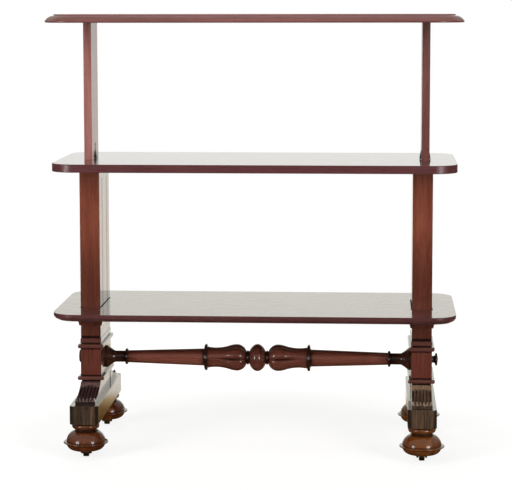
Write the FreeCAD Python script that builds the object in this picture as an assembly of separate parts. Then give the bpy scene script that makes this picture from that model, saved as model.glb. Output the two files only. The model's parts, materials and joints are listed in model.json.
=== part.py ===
import FreeCAD, Part
import math
import os

from FreeCAD import Vector

# A dumb waiter of three tiers, in millimetres. The floor is at height zero, the front is towards minus Y.
# The top tier slides down into the hollow standards while cords draw the lower tier up, so that the
# three tiers close into one table top.

# Tiers
tier_width = 1038.0
tier_depth = 432.0
tier_corner_radius = 62.0
top_overhang = 14.5
lower_tier_thickness = 19.0
middle_tier_thickness = 21.0
top_tier_thickness = 21.5
lower_tier_top = 374.0
middle_tier_top = 760.0
upper_closed_gap = 0.5
lower_closed_gap = 7.5
top_edge_nose = 3.5
top_edge_shoulder = 7.6
top_edge_shoulder_height = 12.6
top_edge_inset = 23.0
top_edge_step = 3.0
lower_edge_step = 2.5
lower_edge_inset = 13.0
lower_edge_round = 10.0
middle_edge_ease = 1.5

# Standards and posts
trestle_inset = 86.0
standard_width = 52.0
standard_depth = 182.0
outer_wall = 8.5
inner_wall = 10.0
slide_clearance = 0.4
fixed_clearance = 0.05
post_width = 20.6
post_depth = 114.5
post_overlap = 100.0
post_tenon_height = 12.0
post_tenon_width = 12.0
post_tenon_depth = 90.0
dowel_radius = 4.0
dowel_length = 28.0
dowel_inset = 16.0

# Spring catches on the posts
catch_width = 14.0
catch_height = 35.0
catch_head = 4.0
catch_thickness = 4.0
catch_throw = 4.5
catch_seat_gap = 1.2
catch_pivot_depth = 3.5
catch_pin_radius = 1.2
catch_pin_length = 19.0
catch_pin_clearance = 0.05
catch_pocket_depth = 7.0
catch_pocket_clearance = 0.5
catch_foot_room = 1.5

# Counterbalance inside the standards
slot_spacing = 80.0
slot_width = 5.0
slot_end_room = 3.0
cord_radius = 2.0
cord_clearance = 0.3
pulley_pitch_radius = 8.5
pulley_radius = 10.5
pulley_width = 8.0
pulley_top_room = 6.0
stud_radius = 2.5
stud_clearance = 0.05
stud_head_radius = 4.5
stud_head_length = 1.6
stud_hold = 8.0
shoe_thickness = 5.0
shoe_edge = 4.0
shoe_wall_room = 1.5
carrier_thickness = 4.0
carrier_height = 20.0
carrier_drop = 5.0
carrier_grip = 6.0

# Guide collars under the lower tier
collar_height = 28.0
collar_top_thickness = 9.0
collar_foot_thickness = 3.0
collar_clearance = 0.5
tier_opening_clearance = 2.0
collar_screw_radius = 1.5
collar_screw_length = 20.0

# Pedestals and their mouldings
pedestal_width = 54.0
pedestal_depth = 186.0
pedestal_top = 266.0
upper_band_height = 11.0
upper_band_reach = 7.75
astragal_base = 280.0
astragal_height = 12.0
astragal_reach = 1.5
lower_band_base = 182.0
lower_band_height = 10.0
lower_band_reach = 8.0
band_round = 4.0
astragal_round = 1.35
neck_width = 50.0
neck_depth = 182.0

# Sleds and leaf brackets
sled_width = 74.0
sled_length = 465.0
sled_base = 91.0
sled_height = 48.5
sled_cant = 8.0
leaf_width = 52.0
leaf_top = 176.0
leaf_reach = 118.0
leaf_toe_height = 9.0
leaf_head_depth = 9.0
leaf_hollow = 8.0

# Bun feet
foot_inset = 37.0
bun_base = 20.0
bun_base_radius = 29.0
bowl_bulge = 5.0
bowl_drop = 4.0
bun_flange_height = 40.0
bun_flange_radius = 57.75
bun_flange_edge = 1.8
bun_body_radius = 50.0
dome_bulge = 5.0
dome_rise = 3.0
bun_neck_height = 71.0
bun_neck_radius = 28.0
bun_ring_base = 75.5
bun_ring_radius = 35.6
bun_pin_radius = 12.5
bun_pin_length = 25.0

# Castors, sunk in the buns
castor_recess_radius = 25.0
castor_recess_top = 46.0
castor_plate_radius = 20.0
castor_plate_thickness = 3.0
castor_trail = 6.0
pintle_radius = 4.0
pintle_head_radius = 6.0
pintle_head_length = 2.0
swivel_clearance = 0.05
swivel_play = 0.3
crown_radius = 14.0
crown_height = 9.0
wheel_radius = 13.0
wheel_width = 14.5
wheel_edge_round = 2.0
wheel_side_room = 1.0
wheel_clearance = 0.05
cheek_thickness = 5.5
cheek_reach = 5.5
axle_radius = 2.5
castor_screw_radius = 1.4
castor_screw_length = 12.0
castor_screw_circle = 14.0
castor_screw_count = 3

# Stretcher, bolts and bosses
stretcher_height = 229.0
knop_radius = 36.4
knop_half_length = 22.0
knop_crown = 8.0
knop_crown_radius = 34.4
knop_shoulder = 15.5
knop_shoulder_radius = 28.2
knop_neck_radius = 17.5
collar_ring_gap = 1.4
collar_ring_length = 4.4
collar_ring_radius = 19.6
vase_length = 104.0
vase_rise = 9.2
vase_rise_radius = 30.0
vase_belly = 25.0
vase_belly_radius = 35.6
vase_shoulder_radius = 34.2
vase_turn = 49.0
vase_turn_radius = 30.8
vase_flank_radius = 27.3
vase_waist = 83.0
vase_waist_radius = 26.2
vase_end_radius = 28.6
vase_ring_length = 7.0
vase_ring_radius = 35.6
shaft_thick_radius = 23.0
shaft_thin_radius = 16.4
shaft_shoulder = 8.0
end_ring_length = 7.0
end_ring_radius = 21.7
end_neck_length = 27.0
end_neck_radius = 15.4
bell_length = 26.0
bell_flare = 9.5
bell_flare_radius = 21.2
bell_lip_radius = 28.6
bell_rim_length = 7.0
bell_radius = 29.7
bolt_radius = 5.0
bolt_clearance = 0.5
bolt_hold = 60.0
bolt_head_radius = 9.0
bolt_head_length = 6.0
bolt_head_room = 1.0
boss_radius = 17.0
boss_reach = 18.0
boss_neck_at = 5.4
boss_rim_start = 10.8
boss_neck_radius = 9.0
boss_foot_radius = 13.0

# Places that follow from the sizes above
trestle_x = tier_width / 2 - trestle_inset
lower_tier_underside = lower_tier_top - lower_tier_thickness
middle_tier_underside = middle_tier_top - middle_tier_thickness
travel = middle_tier_underside - lower_closed_gap - lower_tier_top
top_tier_underside = middle_tier_top + upper_closed_gap + travel
standard_inside = trestle_x - standard_width / 2
standard_outside = trestle_x + standard_width / 2
hollow_inside = standard_inside + inner_wall
hollow_outside = standard_outside - outer_wall
post_outside = hollow_outside - slide_clearance
post_inside = post_outside - post_width
post_x = (post_outside + post_inside) / 2
post_foot = middle_tier_underside - post_overlap
hollow_half_depth = post_depth / 2 + slide_clearance
stile_depth = standard_depth / 2 - hollow_half_depth
channel_x = (hollow_inside + post_inside) / 2
carrier_y = slot_spacing / 2
pulley_y = carrier_y - pulley_pitch_radius
post_cord_y = carrier_y - 2 * pulley_pitch_radius
pulley_z = middle_tier_underside - pulley_top_room - pulley_radius
carrier_top = lower_tier_underside - carrier_drop
carrier_foot = carrier_top - carrier_height
collar_foot = lower_tier_underside - collar_height
catch_foot = middle_tier_top + catch_seat_gap
catch_pivot_z = catch_foot + catch_height
catch_lowest = catch_foot - travel
pedestal_inside = trestle_x - pedestal_width / 2
pedestal_outside = trestle_x + pedestal_width / 2
sled_top = sled_base + sled_height
foot_y = sled_length / 2 - foot_inset
wheel_z = wheel_radius
plate_foot = castor_recess_top - castor_plate_thickness
crown_top = plate_foot - swivel_play
crown_foot = crown_top - crown_height
X_AXIS = Vector(1, 0, 0)
Y_AXIS = Vector(0, 1, 0)
Z_AXIS = Vector(0, 0, 1)
ORIGIN = Vector(0, 0, 0)

# How close two measures count as the same
same_height = 1e-6
same_length = 1e-3
upright_share = 0.99

pieces = {}


# Shapes that several pieces use

def block(x_low, x_high, y_low, y_high, z_low, z_high):
    corner = Vector(x_low, y_low, z_low)
    return Part.makeBox(x_high - x_low, y_high - y_low, z_high - z_low, corner)


def centred_block(x_mid, width, depth, z_low, z_high):
    return block(x_mid - width / 2, x_mid + width / 2, -depth / 2, depth / 2, z_low, z_high)


def upright_edges(shape):
    return [edge for edge in shape.Edges if abs(edge.tangentAt(edge.FirstParameter).z) > upright_share]


def edges_at_height(shape, height):
    return [edge for edge in shape.Edges if all(abs(v.Z - height) < same_height for v in edge.Vertexes)]


def board(width, depth, corner_radius, z_low, z_high):
    plain = centred_block(0, width, depth, z_low, z_high)
    return plain.makeFillet(corner_radius, upright_edges(plain))


def both_sides(shape):
    return [shape.mirror(ORIGIN, X_AXIS), shape]


def front_and_back(shape):
    return [shape, shape.mirror(ORIGIN, Y_AXIS)]


def four_ways(shape):
    return [copy for half in front_and_back(shape) for copy in both_sides(half)]


def cut_all(shape, tools):
    return shape.cut(Part.makeCompound(tools))


def group(solids):
    return Part.makeCompound(solids)


def keep_pair(name, shape):
    pieces["left_" + name], pieces["right_" + name] = both_sides(shape)


def turned(outline, centre, axis):
    wire = Part.Wire(outline)
    return Part.Face(wire).revolve(centre, axis, 360)


def line(start, end):
    return Part.LineSegment(start, end).toShape()


def arc(start, middle, end):
    return Part.Arc(start, middle, end).toShape()


def outline_of(steps):
    """Joins points by lines, and by an arc where a step also gives the point that the arc passes through."""
    edges = []
    here = steps[0][0]
    for step in steps[1:]:
        if len(step) == 2:
            edges.append(arc(here, step[0], step[1]))
        else:
            edges.append(line(here, step[0]))
        here = step[-1]
    edges.append(line(here, steps[0][0]))
    return edges


# Tiers

def post_opening(clearance, z_low, z_high):
    width = post_width + 2 * clearance
    depth = post_depth + 2 * clearance
    return centred_block(post_x, width, depth, z_low, z_high)


def tenon(clearance):
    width = post_tenon_width + 2 * clearance
    depth = post_tenon_depth + 2 * clearance
    head = top_tier_underside + post_tenon_height + clearance
    return centred_block(post_x, width, depth, top_tier_underside, head)


def moulded_board(width, depth, corner_radius, edge):
    """A board with one edge outline all round, drawn out from the axis of a corner."""
    section = Part.Face(Part.Wire(outline_of(edge)))
    half_x = width / 2 - corner_radius
    half_y = depth / 2 - corner_radius
    corner = section.revolve(ORIGIN, Z_AXIS, 90).translated(Vector(half_x, half_y, 0))
    end = section.extrude(Vector(0, 2 * half_y, 0)).translated(Vector(half_x, -half_y, 0))
    side = section.rotated(ORIGIN, Z_AXIS, 90).extrude(Vector(2 * half_x, 0, 0))
    side = side.translated(Vector(-half_x, half_y, 0))
    middle = centred_block(0, 2 * half_x, 2 * half_y, edge[0][0].z, edge[-1][0].z)
    return middle.fuse(four_ways(corner) + both_sides(end) + front_and_back(side)).removeSplitter()


def make_top_tier():
    width = tier_width + 2 * top_overhang
    depth = tier_depth + 2 * top_overhang
    radius = tier_corner_radius + top_overhang
    foot = top_tier_underside
    head = top_tier_underside + top_tier_thickness
    shoulder = Vector(radius - top_edge_shoulder, 0, foot + top_edge_shoulder_height)
    edge = [
        (Vector(0, 0, foot),),
        (Vector(radius, 0, foot),),
        (Vector(radius, 0, foot + top_edge_nose),),
        (shoulder, Vector(radius - top_edge_inset, 0, head - top_edge_step)),
        (Vector(radius - top_edge_inset, 0, head),),
        (Vector(0, 0, head),),
    ]
    whole = moulded_board(width, depth, radius, edge)
    return cut_all(whole, both_sides(tenon(fixed_clearance)))


def make_middle_tier():
    plain = board(tier_width, tier_depth, tier_corner_radius, middle_tier_underside, middle_tier_top)
    rims = edges_at_height(plain, middle_tier_underside) + edges_at_height(plain, middle_tier_top)
    eased = plain.makeFillet(middle_edge_ease, rims)
    opening = post_opening(slide_clearance, middle_tier_underside, middle_tier_top)
    return cut_all(eased, both_sides(opening) + dowel_holes())


def make_lower_tier():
    step_z = lower_tier_underside + lower_edge_step
    upper_part = board(tier_width, tier_depth, tier_corner_radius, step_z, lower_tier_top)
    upper_part = upper_part.makeFillet(lower_edge_round, edges_at_height(upper_part, step_z))
    inset_width = tier_width - 2 * lower_edge_inset
    inset_depth = tier_depth - 2 * lower_edge_inset
    inset_radius = tier_corner_radius - lower_edge_inset
    lower_part = board(inset_width, inset_depth, inset_radius, lower_tier_underside, step_z)
    whole = upper_part.fuse(lower_part).removeSplitter()
    opening = standard_opening(tier_opening_clearance, lower_tier_underside, lower_tier_top)
    return cut_all(whole, both_sides(opening) + collar_screw_set(fixed_clearance))


# Dowels that hold the middle tier on the stiles

def dowel_set(clearance):
    solids = []
    for x_mid in (standard_inside + dowel_inset, standard_outside - dowel_inset):
        centre = Vector(x_mid, -(standard_depth - stile_depth) / 2, middle_tier_underside - dowel_length / 2)
        dowel = Part.makeCylinder(dowel_radius + clearance, dowel_length, centre, Z_AXIS)
        solids.extend(four_ways(dowel))
    return solids


def dowel_holes():
    return dowel_set(fixed_clearance)


# Standards

def make_front_stile():
    plain = block(standard_inside, standard_outside, -standard_depth / 2, -hollow_half_depth,
                  pedestal_top, middle_tier_underside)
    return cut_all(plain, dowel_holes())


def make_inner_side():
    plain = block(standard_inside, hollow_inside, -hollow_half_depth, hollow_half_depth,
                  pedestal_top, middle_tier_underside)
    slot_foot = carrier_foot - slot_end_room
    slot_head = carrier_top + travel + slot_end_room
    slot = block(standard_inside, hollow_inside, carrier_y - slot_width / 2, carrier_y + slot_width / 2,
                 slot_foot, slot_head)
    hole = Part.makeCylinder(stud_radius + fixed_clearance, stud_hold,
                             Vector(hollow_inside - stud_hold, pulley_y, pulley_z), X_AXIS)
    return cut_all(plain, front_and_back(slot) + front_and_back(hole))


def make_outer_side():
    plain = block(hollow_outside, standard_outside, -hollow_half_depth, hollow_half_depth,
                  pedestal_top, middle_tier_underside)
    half_width = catch_width / 2 + catch_pocket_clearance
    depth = catch_throw + catch_pocket_clearance
    groove = block(hollow_outside, hollow_outside + depth, -half_width, half_width,
                   catch_lowest - catch_foot_room, middle_tier_underside)
    return plain.cut(groove)


# Posts with a pocket for a spring catch on each face

def catch_pocket():
    half_width = catch_width / 2 + catch_pocket_clearance
    head = catch_pivot_z + catch_head + catch_pocket_clearance
    foot = catch_foot - catch_foot_room
    return block(post_inside, post_inside + catch_pocket_depth, -half_width, half_width, foot, head)


def catch_pin(clearance):
    centre = Vector(post_inside + catch_pivot_depth, -catch_pin_length / 2, catch_pivot_z)
    return Part.makeCylinder(catch_pin_radius + clearance, catch_pin_length, centre, Y_AXIS)


def to_outer_face(shape):
    return shape.mirror(Vector(post_x, 0, 0), X_AXIS)


def make_catch():
    """One catch on the inner face, sprung out: it hangs from its pin with its foot proud of the post."""
    face_x = post_inside
    pivot_x = face_x + catch_pivot_depth
    half = catch_thickness / 2
    head_z = catch_pivot_z + catch_head
    foot_out = face_x - catch_throw
    steps = [
        (Vector(pivot_x - half, 0, head_z),),
        (Vector(pivot_x + half, 0, head_z),),
        (Vector(pivot_x + half, 0, catch_pivot_z),),
        (Vector(foot_out + catch_thickness + catch_throw / 2, 0, catch_foot),),
        (Vector(foot_out, 0, catch_foot),),
        (Vector(pivot_x - half, 0, catch_pivot_z),),
    ]
    flat = Part.Face(Part.Wire(outline_of(steps)))
    solid = flat.extrude(Vector(0, catch_width, 0))
    solid.translate(Vector(0, -catch_width / 2, 0))
    return solid.cut(catch_pin(catch_pin_clearance))


def make_post():
    body = centred_block(post_x, post_width, post_depth, post_foot, top_tier_underside)
    body = body.fuse(tenon(0)).removeSplitter()
    pocket = catch_pocket()
    pin = catch_pin(fixed_clearance)
    return cut_all(body, [pocket, to_outer_face(pocket), pin, to_outer_face(pin)])


# Counterbalance: a shoe on the foot of each post, cords over pulleys, and carriers of the lower tier

def make_shoe():
    half_width = post_cord_y + shoe_edge
    return block(hollow_inside + shoe_wall_room, post_outside, -half_width, half_width,
                 post_foot - shoe_thickness, post_foot)


def make_pulley():
    half = pulley_width / 2
    groove_half = cord_radius + cord_clearance
    groove_radius = pulley_pitch_radius - cord_radius - cord_clearance
    bore = stud_radius + stud_clearance
    x_low = channel_x - half
    x_high = channel_x + half
    steps = [
        (Vector(x_low, 0, bore),),
        (Vector(x_low, 0, pulley_radius),),
        (Vector(channel_x - groove_half, 0, pulley_radius),),
        (Vector(channel_x - groove_half, 0, pulley_pitch_radius),),
        (Vector(channel_x, 0, groove_radius), Vector(channel_x + groove_half, 0, pulley_pitch_radius)),
        (Vector(channel_x + groove_half, 0, pulley_radius),),
        (Vector(x_high, 0, pulley_radius),),
        (Vector(x_high, 0, bore),),
    ]
    wheel = turned(outline_of(steps), ORIGIN, X_AXIS)
    wheel.translate(Vector(0, pulley_y, pulley_z))
    return wheel


def make_stud():
    start = hollow_inside - stud_hold
    head_start = channel_x + pulley_width / 2 + stud_clearance
    shank = Part.makeCylinder(stud_radius, head_start - start, Vector(start, pulley_y, pulley_z), X_AXIS)
    head_centre = Vector(head_start, pulley_y, pulley_z)
    head = Part.makeCylinder(stud_head_radius, stud_head_length, head_centre, X_AXIS)
    return shank.fuse(head).removeSplitter()


def make_carrier():
    half = carrier_thickness / 2
    return block(standard_inside - collar_clearance - carrier_grip, channel_x + cord_radius,
                 carrier_y - half, carrier_y + half, carrier_foot, carrier_top)


def make_post_cord():
    start = Vector(channel_x, post_cord_y, post_foot)
    return Part.makeCylinder(cord_radius, pulley_z - post_foot, start, Z_AXIS)


def make_carrier_cord():
    start = Vector(channel_x, carrier_y, carrier_top)
    return Part.makeCylinder(cord_radius, pulley_z - carrier_top, start, Z_AXIS)


def make_cord_wrap():
    section = Part.Wire([Part.Circle(Vector(channel_x, carrier_y, pulley_z), Z_AXIS, cord_radius).toShape()])
    return Part.Face(section).revolve(Vector(channel_x, pulley_y, pulley_z), X_AXIS, 180)


# Guide collars

def standard_opening(clearance, z_low, z_high):
    width = standard_width + 2 * clearance
    depth = standard_depth + 2 * clearance
    return centred_block(trestle_x, width, depth, z_low, z_high)


def rectangle(width, depth, height):
    x_low = trestle_x - width / 2
    x_high = trestle_x + width / 2
    y_low = -depth / 2
    y_high = depth / 2
    corners = [(x_low, y_low), (x_high, y_low), (x_high, y_high), (x_low, y_high), (x_low, y_low)]
    return Part.makePolygon([Vector(x, y, height) for x, y in corners])


def collar_screw_set(clearance):
    solids = []
    reach_x = standard_width / 2 + collar_clearance + collar_top_thickness / 2
    reach_y = standard_depth / 2 + collar_clearance + collar_top_thickness / 2
    foot = lower_tier_underside - collar_screw_length / 2
    for x_mid in (trestle_x - reach_x, trestle_x + reach_x):
        centre = Vector(x_mid, -reach_y, foot)
        screw = Part.makeCylinder(collar_screw_radius + clearance, collar_screw_length, centre, Z_AXIS)
        solids.extend(four_ways(screw))
    return solids


def make_collar():
    foot_grow = 2 * (collar_clearance + collar_foot_thickness)
    top_grow = 2 * (collar_clearance + collar_top_thickness)
    foot = rectangle(standard_width + foot_grow, standard_depth + foot_grow, collar_foot)
    top = rectangle(standard_width + top_grow, standard_depth + top_grow, lower_tier_underside)
    taper = Part.makeLoft([foot, top], True, True)
    hollow = standard_opening(collar_clearance, collar_foot, lower_tier_underside)
    return cut_all(taper, [hollow] + front_and_back(make_carrier()) + collar_screw_set(fixed_clearance))


# Pedestals and mouldings

def moulding(core_width, core_depth, reach, z_low, height, rounding):
    solid = centred_block(trestle_x, core_width + 2 * reach, core_depth + 2 * reach, z_low, z_low + height)
    solid = solid.makeFillet(rounding, solid.Edges)
    return solid.cut(centred_block(trestle_x, core_width, core_depth, z_low, z_low + height))


def bolt_axis_point(x):
    return Vector(x, 0, stretcher_height)


def make_pedestal():
    upper = centred_block(trestle_x, pedestal_width, pedestal_depth, lower_band_base, pedestal_top)
    neck = centred_block(trestle_x, neck_width, neck_depth, sled_top, lower_band_base)
    body = upper.fuse(neck).removeSplitter()
    bolt_hole = Part.makeCylinder(bolt_radius + bolt_clearance, pedestal_width,
                                  bolt_axis_point(pedestal_inside), X_AXIS)
    room_length = bolt_head_length + bolt_head_room
    head_room = Part.makeCylinder(bolt_head_radius + bolt_clearance, room_length,
                                  bolt_axis_point(pedestal_outside - room_length), X_AXIS)
    return cut_all(body, [bolt_hole, head_room])


# Sleds and leaf brackets

def foot_pin(clearance):
    centre = Vector(trestle_x, -foot_y, sled_base)
    return Part.makeCylinder(bun_pin_radius + clearance, bun_pin_length + clearance, centre, Z_AXIS)


def make_sled():
    plain = centred_block(trestle_x, sled_width, sled_length, sled_base, sled_top)
    canted = plain.makeChamfer(sled_cant, upright_edges(plain))
    return cut_all(canted, front_and_back(foot_pin(fixed_clearance)))


def make_front_leaf():
    back_y = -neck_depth / 2
    toe_y = back_y - leaf_reach
    toe_top = sled_top + leaf_toe_height
    head_y = back_y - leaf_head_depth
    middle_y = (toe_y + head_y) / 2
    middle_z = (toe_top + leaf_top) / 2 - leaf_hollow
    steps = [
        (Vector(0, back_y, sled_top),),
        (Vector(0, toe_y, sled_top),),
        (Vector(0, toe_y, toe_top),),
        (Vector(0, middle_y, middle_z), Vector(0, head_y, leaf_top)),
        (Vector(0, back_y, leaf_top),),
    ]
    solid = Part.Face(Part.Wire(outline_of(steps))).extrude(Vector(leaf_width, 0, 0))
    solid.translate(Vector(trestle_x - leaf_width / 2, 0, 0))
    return solid


# Feet and castors

def make_bun():
    """A turned foot on the Z axis: bowl, thin flange, dome, neck, ring, and a pin that goes into the sled."""
    recess = castor_recess_radius
    flange_low = bun_flange_height - bun_flange_edge
    flange_high = bun_flange_height + bun_flange_edge
    flange_in = bun_flange_radius - bun_flange_edge
    bowl_radius = (bun_base_radius + bun_body_radius) / 2 + bowl_bulge
    bowl_mid = Vector(bowl_radius, 0, (bun_base + flange_low) / 2 - bowl_drop)
    dome_radius = (bun_body_radius + bun_neck_radius) / 2 + dome_bulge
    dome_mid = Vector(dome_radius, 0, (flange_high + bun_neck_height) / 2 + dome_rise)
    ring_mid = Vector(bun_ring_radius, 0, (bun_ring_base + sled_base) / 2)
    steps = [
        (Vector(0, 0, castor_recess_top),),
        (Vector(recess, 0, castor_recess_top),),
        (Vector(recess, 0, bun_base),),
        (Vector(bun_base_radius, 0, bun_base),),
        (bowl_mid, Vector(bun_body_radius, 0, flange_low)),
        (Vector(flange_in, 0, flange_low),),
        (Vector(bun_flange_radius, 0, bun_flange_height), Vector(flange_in, 0, flange_high)),
        (Vector(bun_body_radius, 0, flange_high),),
        (dome_mid, Vector(bun_neck_radius, 0, bun_neck_height)),
        (Vector(bun_neck_radius, 0, bun_ring_base),),
        (ring_mid, Vector(bun_neck_radius, 0, sled_base)),
        (Vector(bun_pin_radius, 0, sled_base),),
        (Vector(bun_pin_radius, 0, sled_base + bun_pin_length),),
        (Vector(0, 0, sled_base + bun_pin_length),),
    ]
    foot = turned(outline_of(steps), ORIGIN, Z_AXIS)
    return cut_all(foot, castor_screw_set(fixed_clearance))


def castor_screw_set(clearance):
    solids = []
    for number in range(castor_screw_count):
        angle = 2 * math.pi * number / castor_screw_count
        screw_x = castor_screw_circle * math.cos(angle)
        screw_y = castor_screw_circle * math.sin(angle)
        centre = Vector(screw_x, screw_y, plate_foot)
        length = castor_plate_thickness + castor_screw_length
        solids.append(Part.makeCylinder(castor_screw_radius + clearance, length, centre, Z_AXIS))
    return solids


def make_castor_plate():
    plate = Part.makeCylinder(castor_plate_radius, castor_plate_thickness, Vector(0, 0, plate_foot), Z_AXIS)
    head_top = crown_foot - swivel_play
    pintle = Part.makeCylinder(pintle_radius, plate_foot - head_top, Vector(0, 0, head_top), Z_AXIS)
    head_centre = Vector(0, 0, head_top - pintle_head_length)
    head = Part.makeCylinder(pintle_head_radius, pintle_head_length, head_centre, Z_AXIS)
    whole = plate.fuse([pintle, head]).removeSplitter()
    return cut_all(whole, castor_screw_set(fixed_clearance))


def cheek_inner_x():
    return wheel_width / 2 + wheel_side_room


def axle_pin(clearance):
    half_length = cheek_inner_x() + cheek_thickness
    centre = Vector(-half_length, castor_trail, wheel_z)
    return Part.makeCylinder(axle_radius + clearance, 2 * half_length, centre, X_AXIS)


def make_castor_fork():
    crown = Part.makeCylinder(crown_radius, crown_height, Vector(0, 0, crown_foot), Z_AXIS)
    inner = cheek_inner_x()
    outer = inner + cheek_thickness
    solids = []
    for side in (-1, 1):
        x_low = min(side * inner, side * outer)
        x_high = max(side * inner, side * outer)
        upper = block(x_low, x_high, -cheek_reach, castor_trail + cheek_reach, wheel_z, crown_top)
        eye = Part.makeCylinder(cheek_reach, cheek_thickness, Vector(x_low, castor_trail, wheel_z), X_AXIS)
        solids.extend([upper, eye])
    whole = crown.fuse(solids).removeSplitter()
    hole_radius = pintle_radius + swivel_clearance
    pintle_hole = Part.makeCylinder(hole_radius, crown_height, Vector(0, 0, crown_foot), Z_AXIS)
    return cut_all(whole, [pintle_hole, axle_pin(fixed_clearance)])


def make_castor_wheel():
    centre = Vector(-wheel_width / 2, castor_trail, wheel_z)
    wheel = Part.makeCylinder(wheel_radius, wheel_width, centre, X_AXIS)
    rims = [edge for edge in wheel.Edges if abs(edge.Length - 2 * math.pi * wheel_radius) < same_length]
    wheel = wheel.makeFillet(wheel_edge_round, rims)
    return wheel.cut(Part.makeCylinder(axle_radius + wheel_clearance, wheel_width, centre, X_AXIS))


# Stretcher, bolts and bosses

def at(x, radius):
    return Vector(x, 0, radius)


def bead(start_x, end_x, base_radius, top_radius):
    """The three steps of a half-round ring on a turning."""
    return [(at(start_x, base_radius),), (at((start_x + end_x) / 2, top_radius), at(end_x, base_radius))]


def make_stretcher():
    """Half of the turning is drawn from the knop outwards, turned, and joined to its mirror image."""
    end_x = pedestal_inside
    bell_x = end_x - bell_length
    end_ring_x = bell_x - end_neck_length - end_ring_length
    collar_ring_start = knop_half_length + collar_ring_gap
    collar_ring_end = collar_ring_start + collar_ring_length
    vase_x = collar_ring_end + collar_ring_gap
    vase_end_x = vase_x + vase_length
    ring_x = vase_end_x + vase_ring_length
    shaft_x = ring_x + shaft_shoulder
    crown_mid = at(knop_crown / 2, knop_radius - (knop_radius - knop_crown_radius) / 4)
    knop_mid = at(knop_shoulder, knop_shoulder_radius)
    belly_mid = at(vase_x + vase_rise, vase_rise_radius)
    shoulder_mid = at(vase_x + (vase_belly + vase_turn) / 2, vase_shoulder_radius)
    flank_mid = at(vase_x + (vase_turn + vase_waist) / 2, vase_flank_radius)
    bell_mid = at(bell_x + bell_flare, bell_flare_radius)
    rim_x = end_x - bell_rim_length
    steps = [
        (at(0, 0),),
        (at(0, knop_radius),),
        (crown_mid, at(knop_crown, knop_crown_radius)),
        (knop_mid, at(knop_half_length, knop_neck_radius)),
        (at(collar_ring_start, knop_neck_radius),),
    ]
    steps += bead(collar_ring_start, collar_ring_end, knop_neck_radius, collar_ring_radius)[1:]
    steps += [
        (at(vase_x, knop_neck_radius),),
        (belly_mid, at(vase_x + vase_belly, vase_belly_radius)),
        (shoulder_mid, at(vase_x + vase_turn, vase_turn_radius)),
        (flank_mid, at(vase_x + vase_waist, vase_waist_radius)),
        (at(vase_end_x, vase_end_radius),),
    ]
    steps += bead(vase_end_x, ring_x, vase_end_radius, vase_ring_radius)[1:]
    steps += [
        (at(ring_x, shaft_thick_radius),),
        (at(shaft_x, shaft_thick_radius),),
        (at(end_ring_x, shaft_thin_radius),),
    ]
    steps += bead(end_ring_x, end_ring_x + end_ring_length, shaft_thin_radius, end_ring_radius)[1:]
    steps += [
        (at(end_ring_x + end_ring_length, end_neck_radius),),
        (at(bell_x, end_neck_radius),),
        (bell_mid, at(rim_x, bell_lip_radius)),
        (at(rim_x, bell_radius),),
        (at(end_x, bell_radius),),
        (at(end_x, 0),),
    ]
    half = turned(outline_of(steps), ORIGIN, X_AXIS)
    half.translate(Vector(0, 0, stretcher_height))
    half = half.cut(stretcher_bolt_shank(fixed_clearance))
    left, right = both_sides(half)
    return left.fuse(right).removeSplitter()


def stretcher_bolt_shank(clearance):
    start = pedestal_inside - bolt_hold
    end = pedestal_outside - bolt_head_room - bolt_head_length
    return Part.makeCylinder(bolt_radius + clearance, end - start, bolt_axis_point(start), X_AXIS)


def make_bolt():
    head_x = pedestal_outside - bolt_head_room - bolt_head_length
    head = Part.makeCylinder(bolt_head_radius, bolt_head_length, bolt_axis_point(head_x), X_AXIS)
    return stretcher_bolt_shank(0).fuse(head).removeSplitter()


def make_boss():
    foot_x = pedestal_outside
    rim_x = foot_x + boss_rim_start
    face_x = foot_x + boss_reach
    neck_mid = at(foot_x + boss_neck_at, boss_neck_radius)
    rim_mid = at((rim_x + face_x) / 2, boss_radius)
    steps = [
        (at(foot_x, 0),),
        (at(foot_x, boss_foot_radius),),
        (neck_mid, at(rim_x, boss_foot_radius)),
        (rim_mid, at(face_x, boss_foot_radius)),
        (at(face_x, 0),),
    ]
    boss = turned(outline_of(steps), ORIGIN, X_AXIS)
    boss.translate(Vector(0, 0, stretcher_height))
    return boss


# The whole part: top tier and posts
pieces["top_tier"] = make_top_tier()
keep_pair("post", make_post())
pieces["post_shoes"] = group(both_sides(make_shoe()))
inner_catch = make_catch()
keep_pair("inner_catch", inner_catch)
keep_pair("outer_catch", to_outer_face(inner_catch))
pin = catch_pin(0)
pieces["catch_pins"] = group(both_sides(pin) + both_sides(to_outer_face(pin)))

# Middle tier and standards
pieces["middle_tier"] = make_middle_tier()
pieces["tier_dowels"] = group(dowel_set(0))
front_stile = make_front_stile()
keep_pair("standard_front_stile", front_stile)
keep_pair("standard_back_stile", front_and_back(front_stile)[1])
keep_pair("standard_inner_side", make_inner_side())
keep_pair("standard_outer_side", make_outer_side())

# Lower tier with its collars and carriers
pieces["lower_tier"] = make_lower_tier()
keep_pair("collar", make_collar())
pieces["collar_screws"] = group(collar_screw_set(0))
pieces["tier_carriers"] = group(four_ways(make_carrier()))

# Cords and pulleys
front_pulley = front_and_back(make_pulley())[1]
keep_pair("front_pulley", front_pulley)
keep_pair("back_pulley", make_pulley())
pieces["pulley_studs"] = group(four_ways(make_stud()))
pieces["post_cords"] = group(four_ways(make_post_cord()))
pieces["carrier_cords"] = group(four_ways(make_carrier_cord()))
pieces["cord_wraps"] = group(four_ways(make_cord_wrap()))

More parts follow.
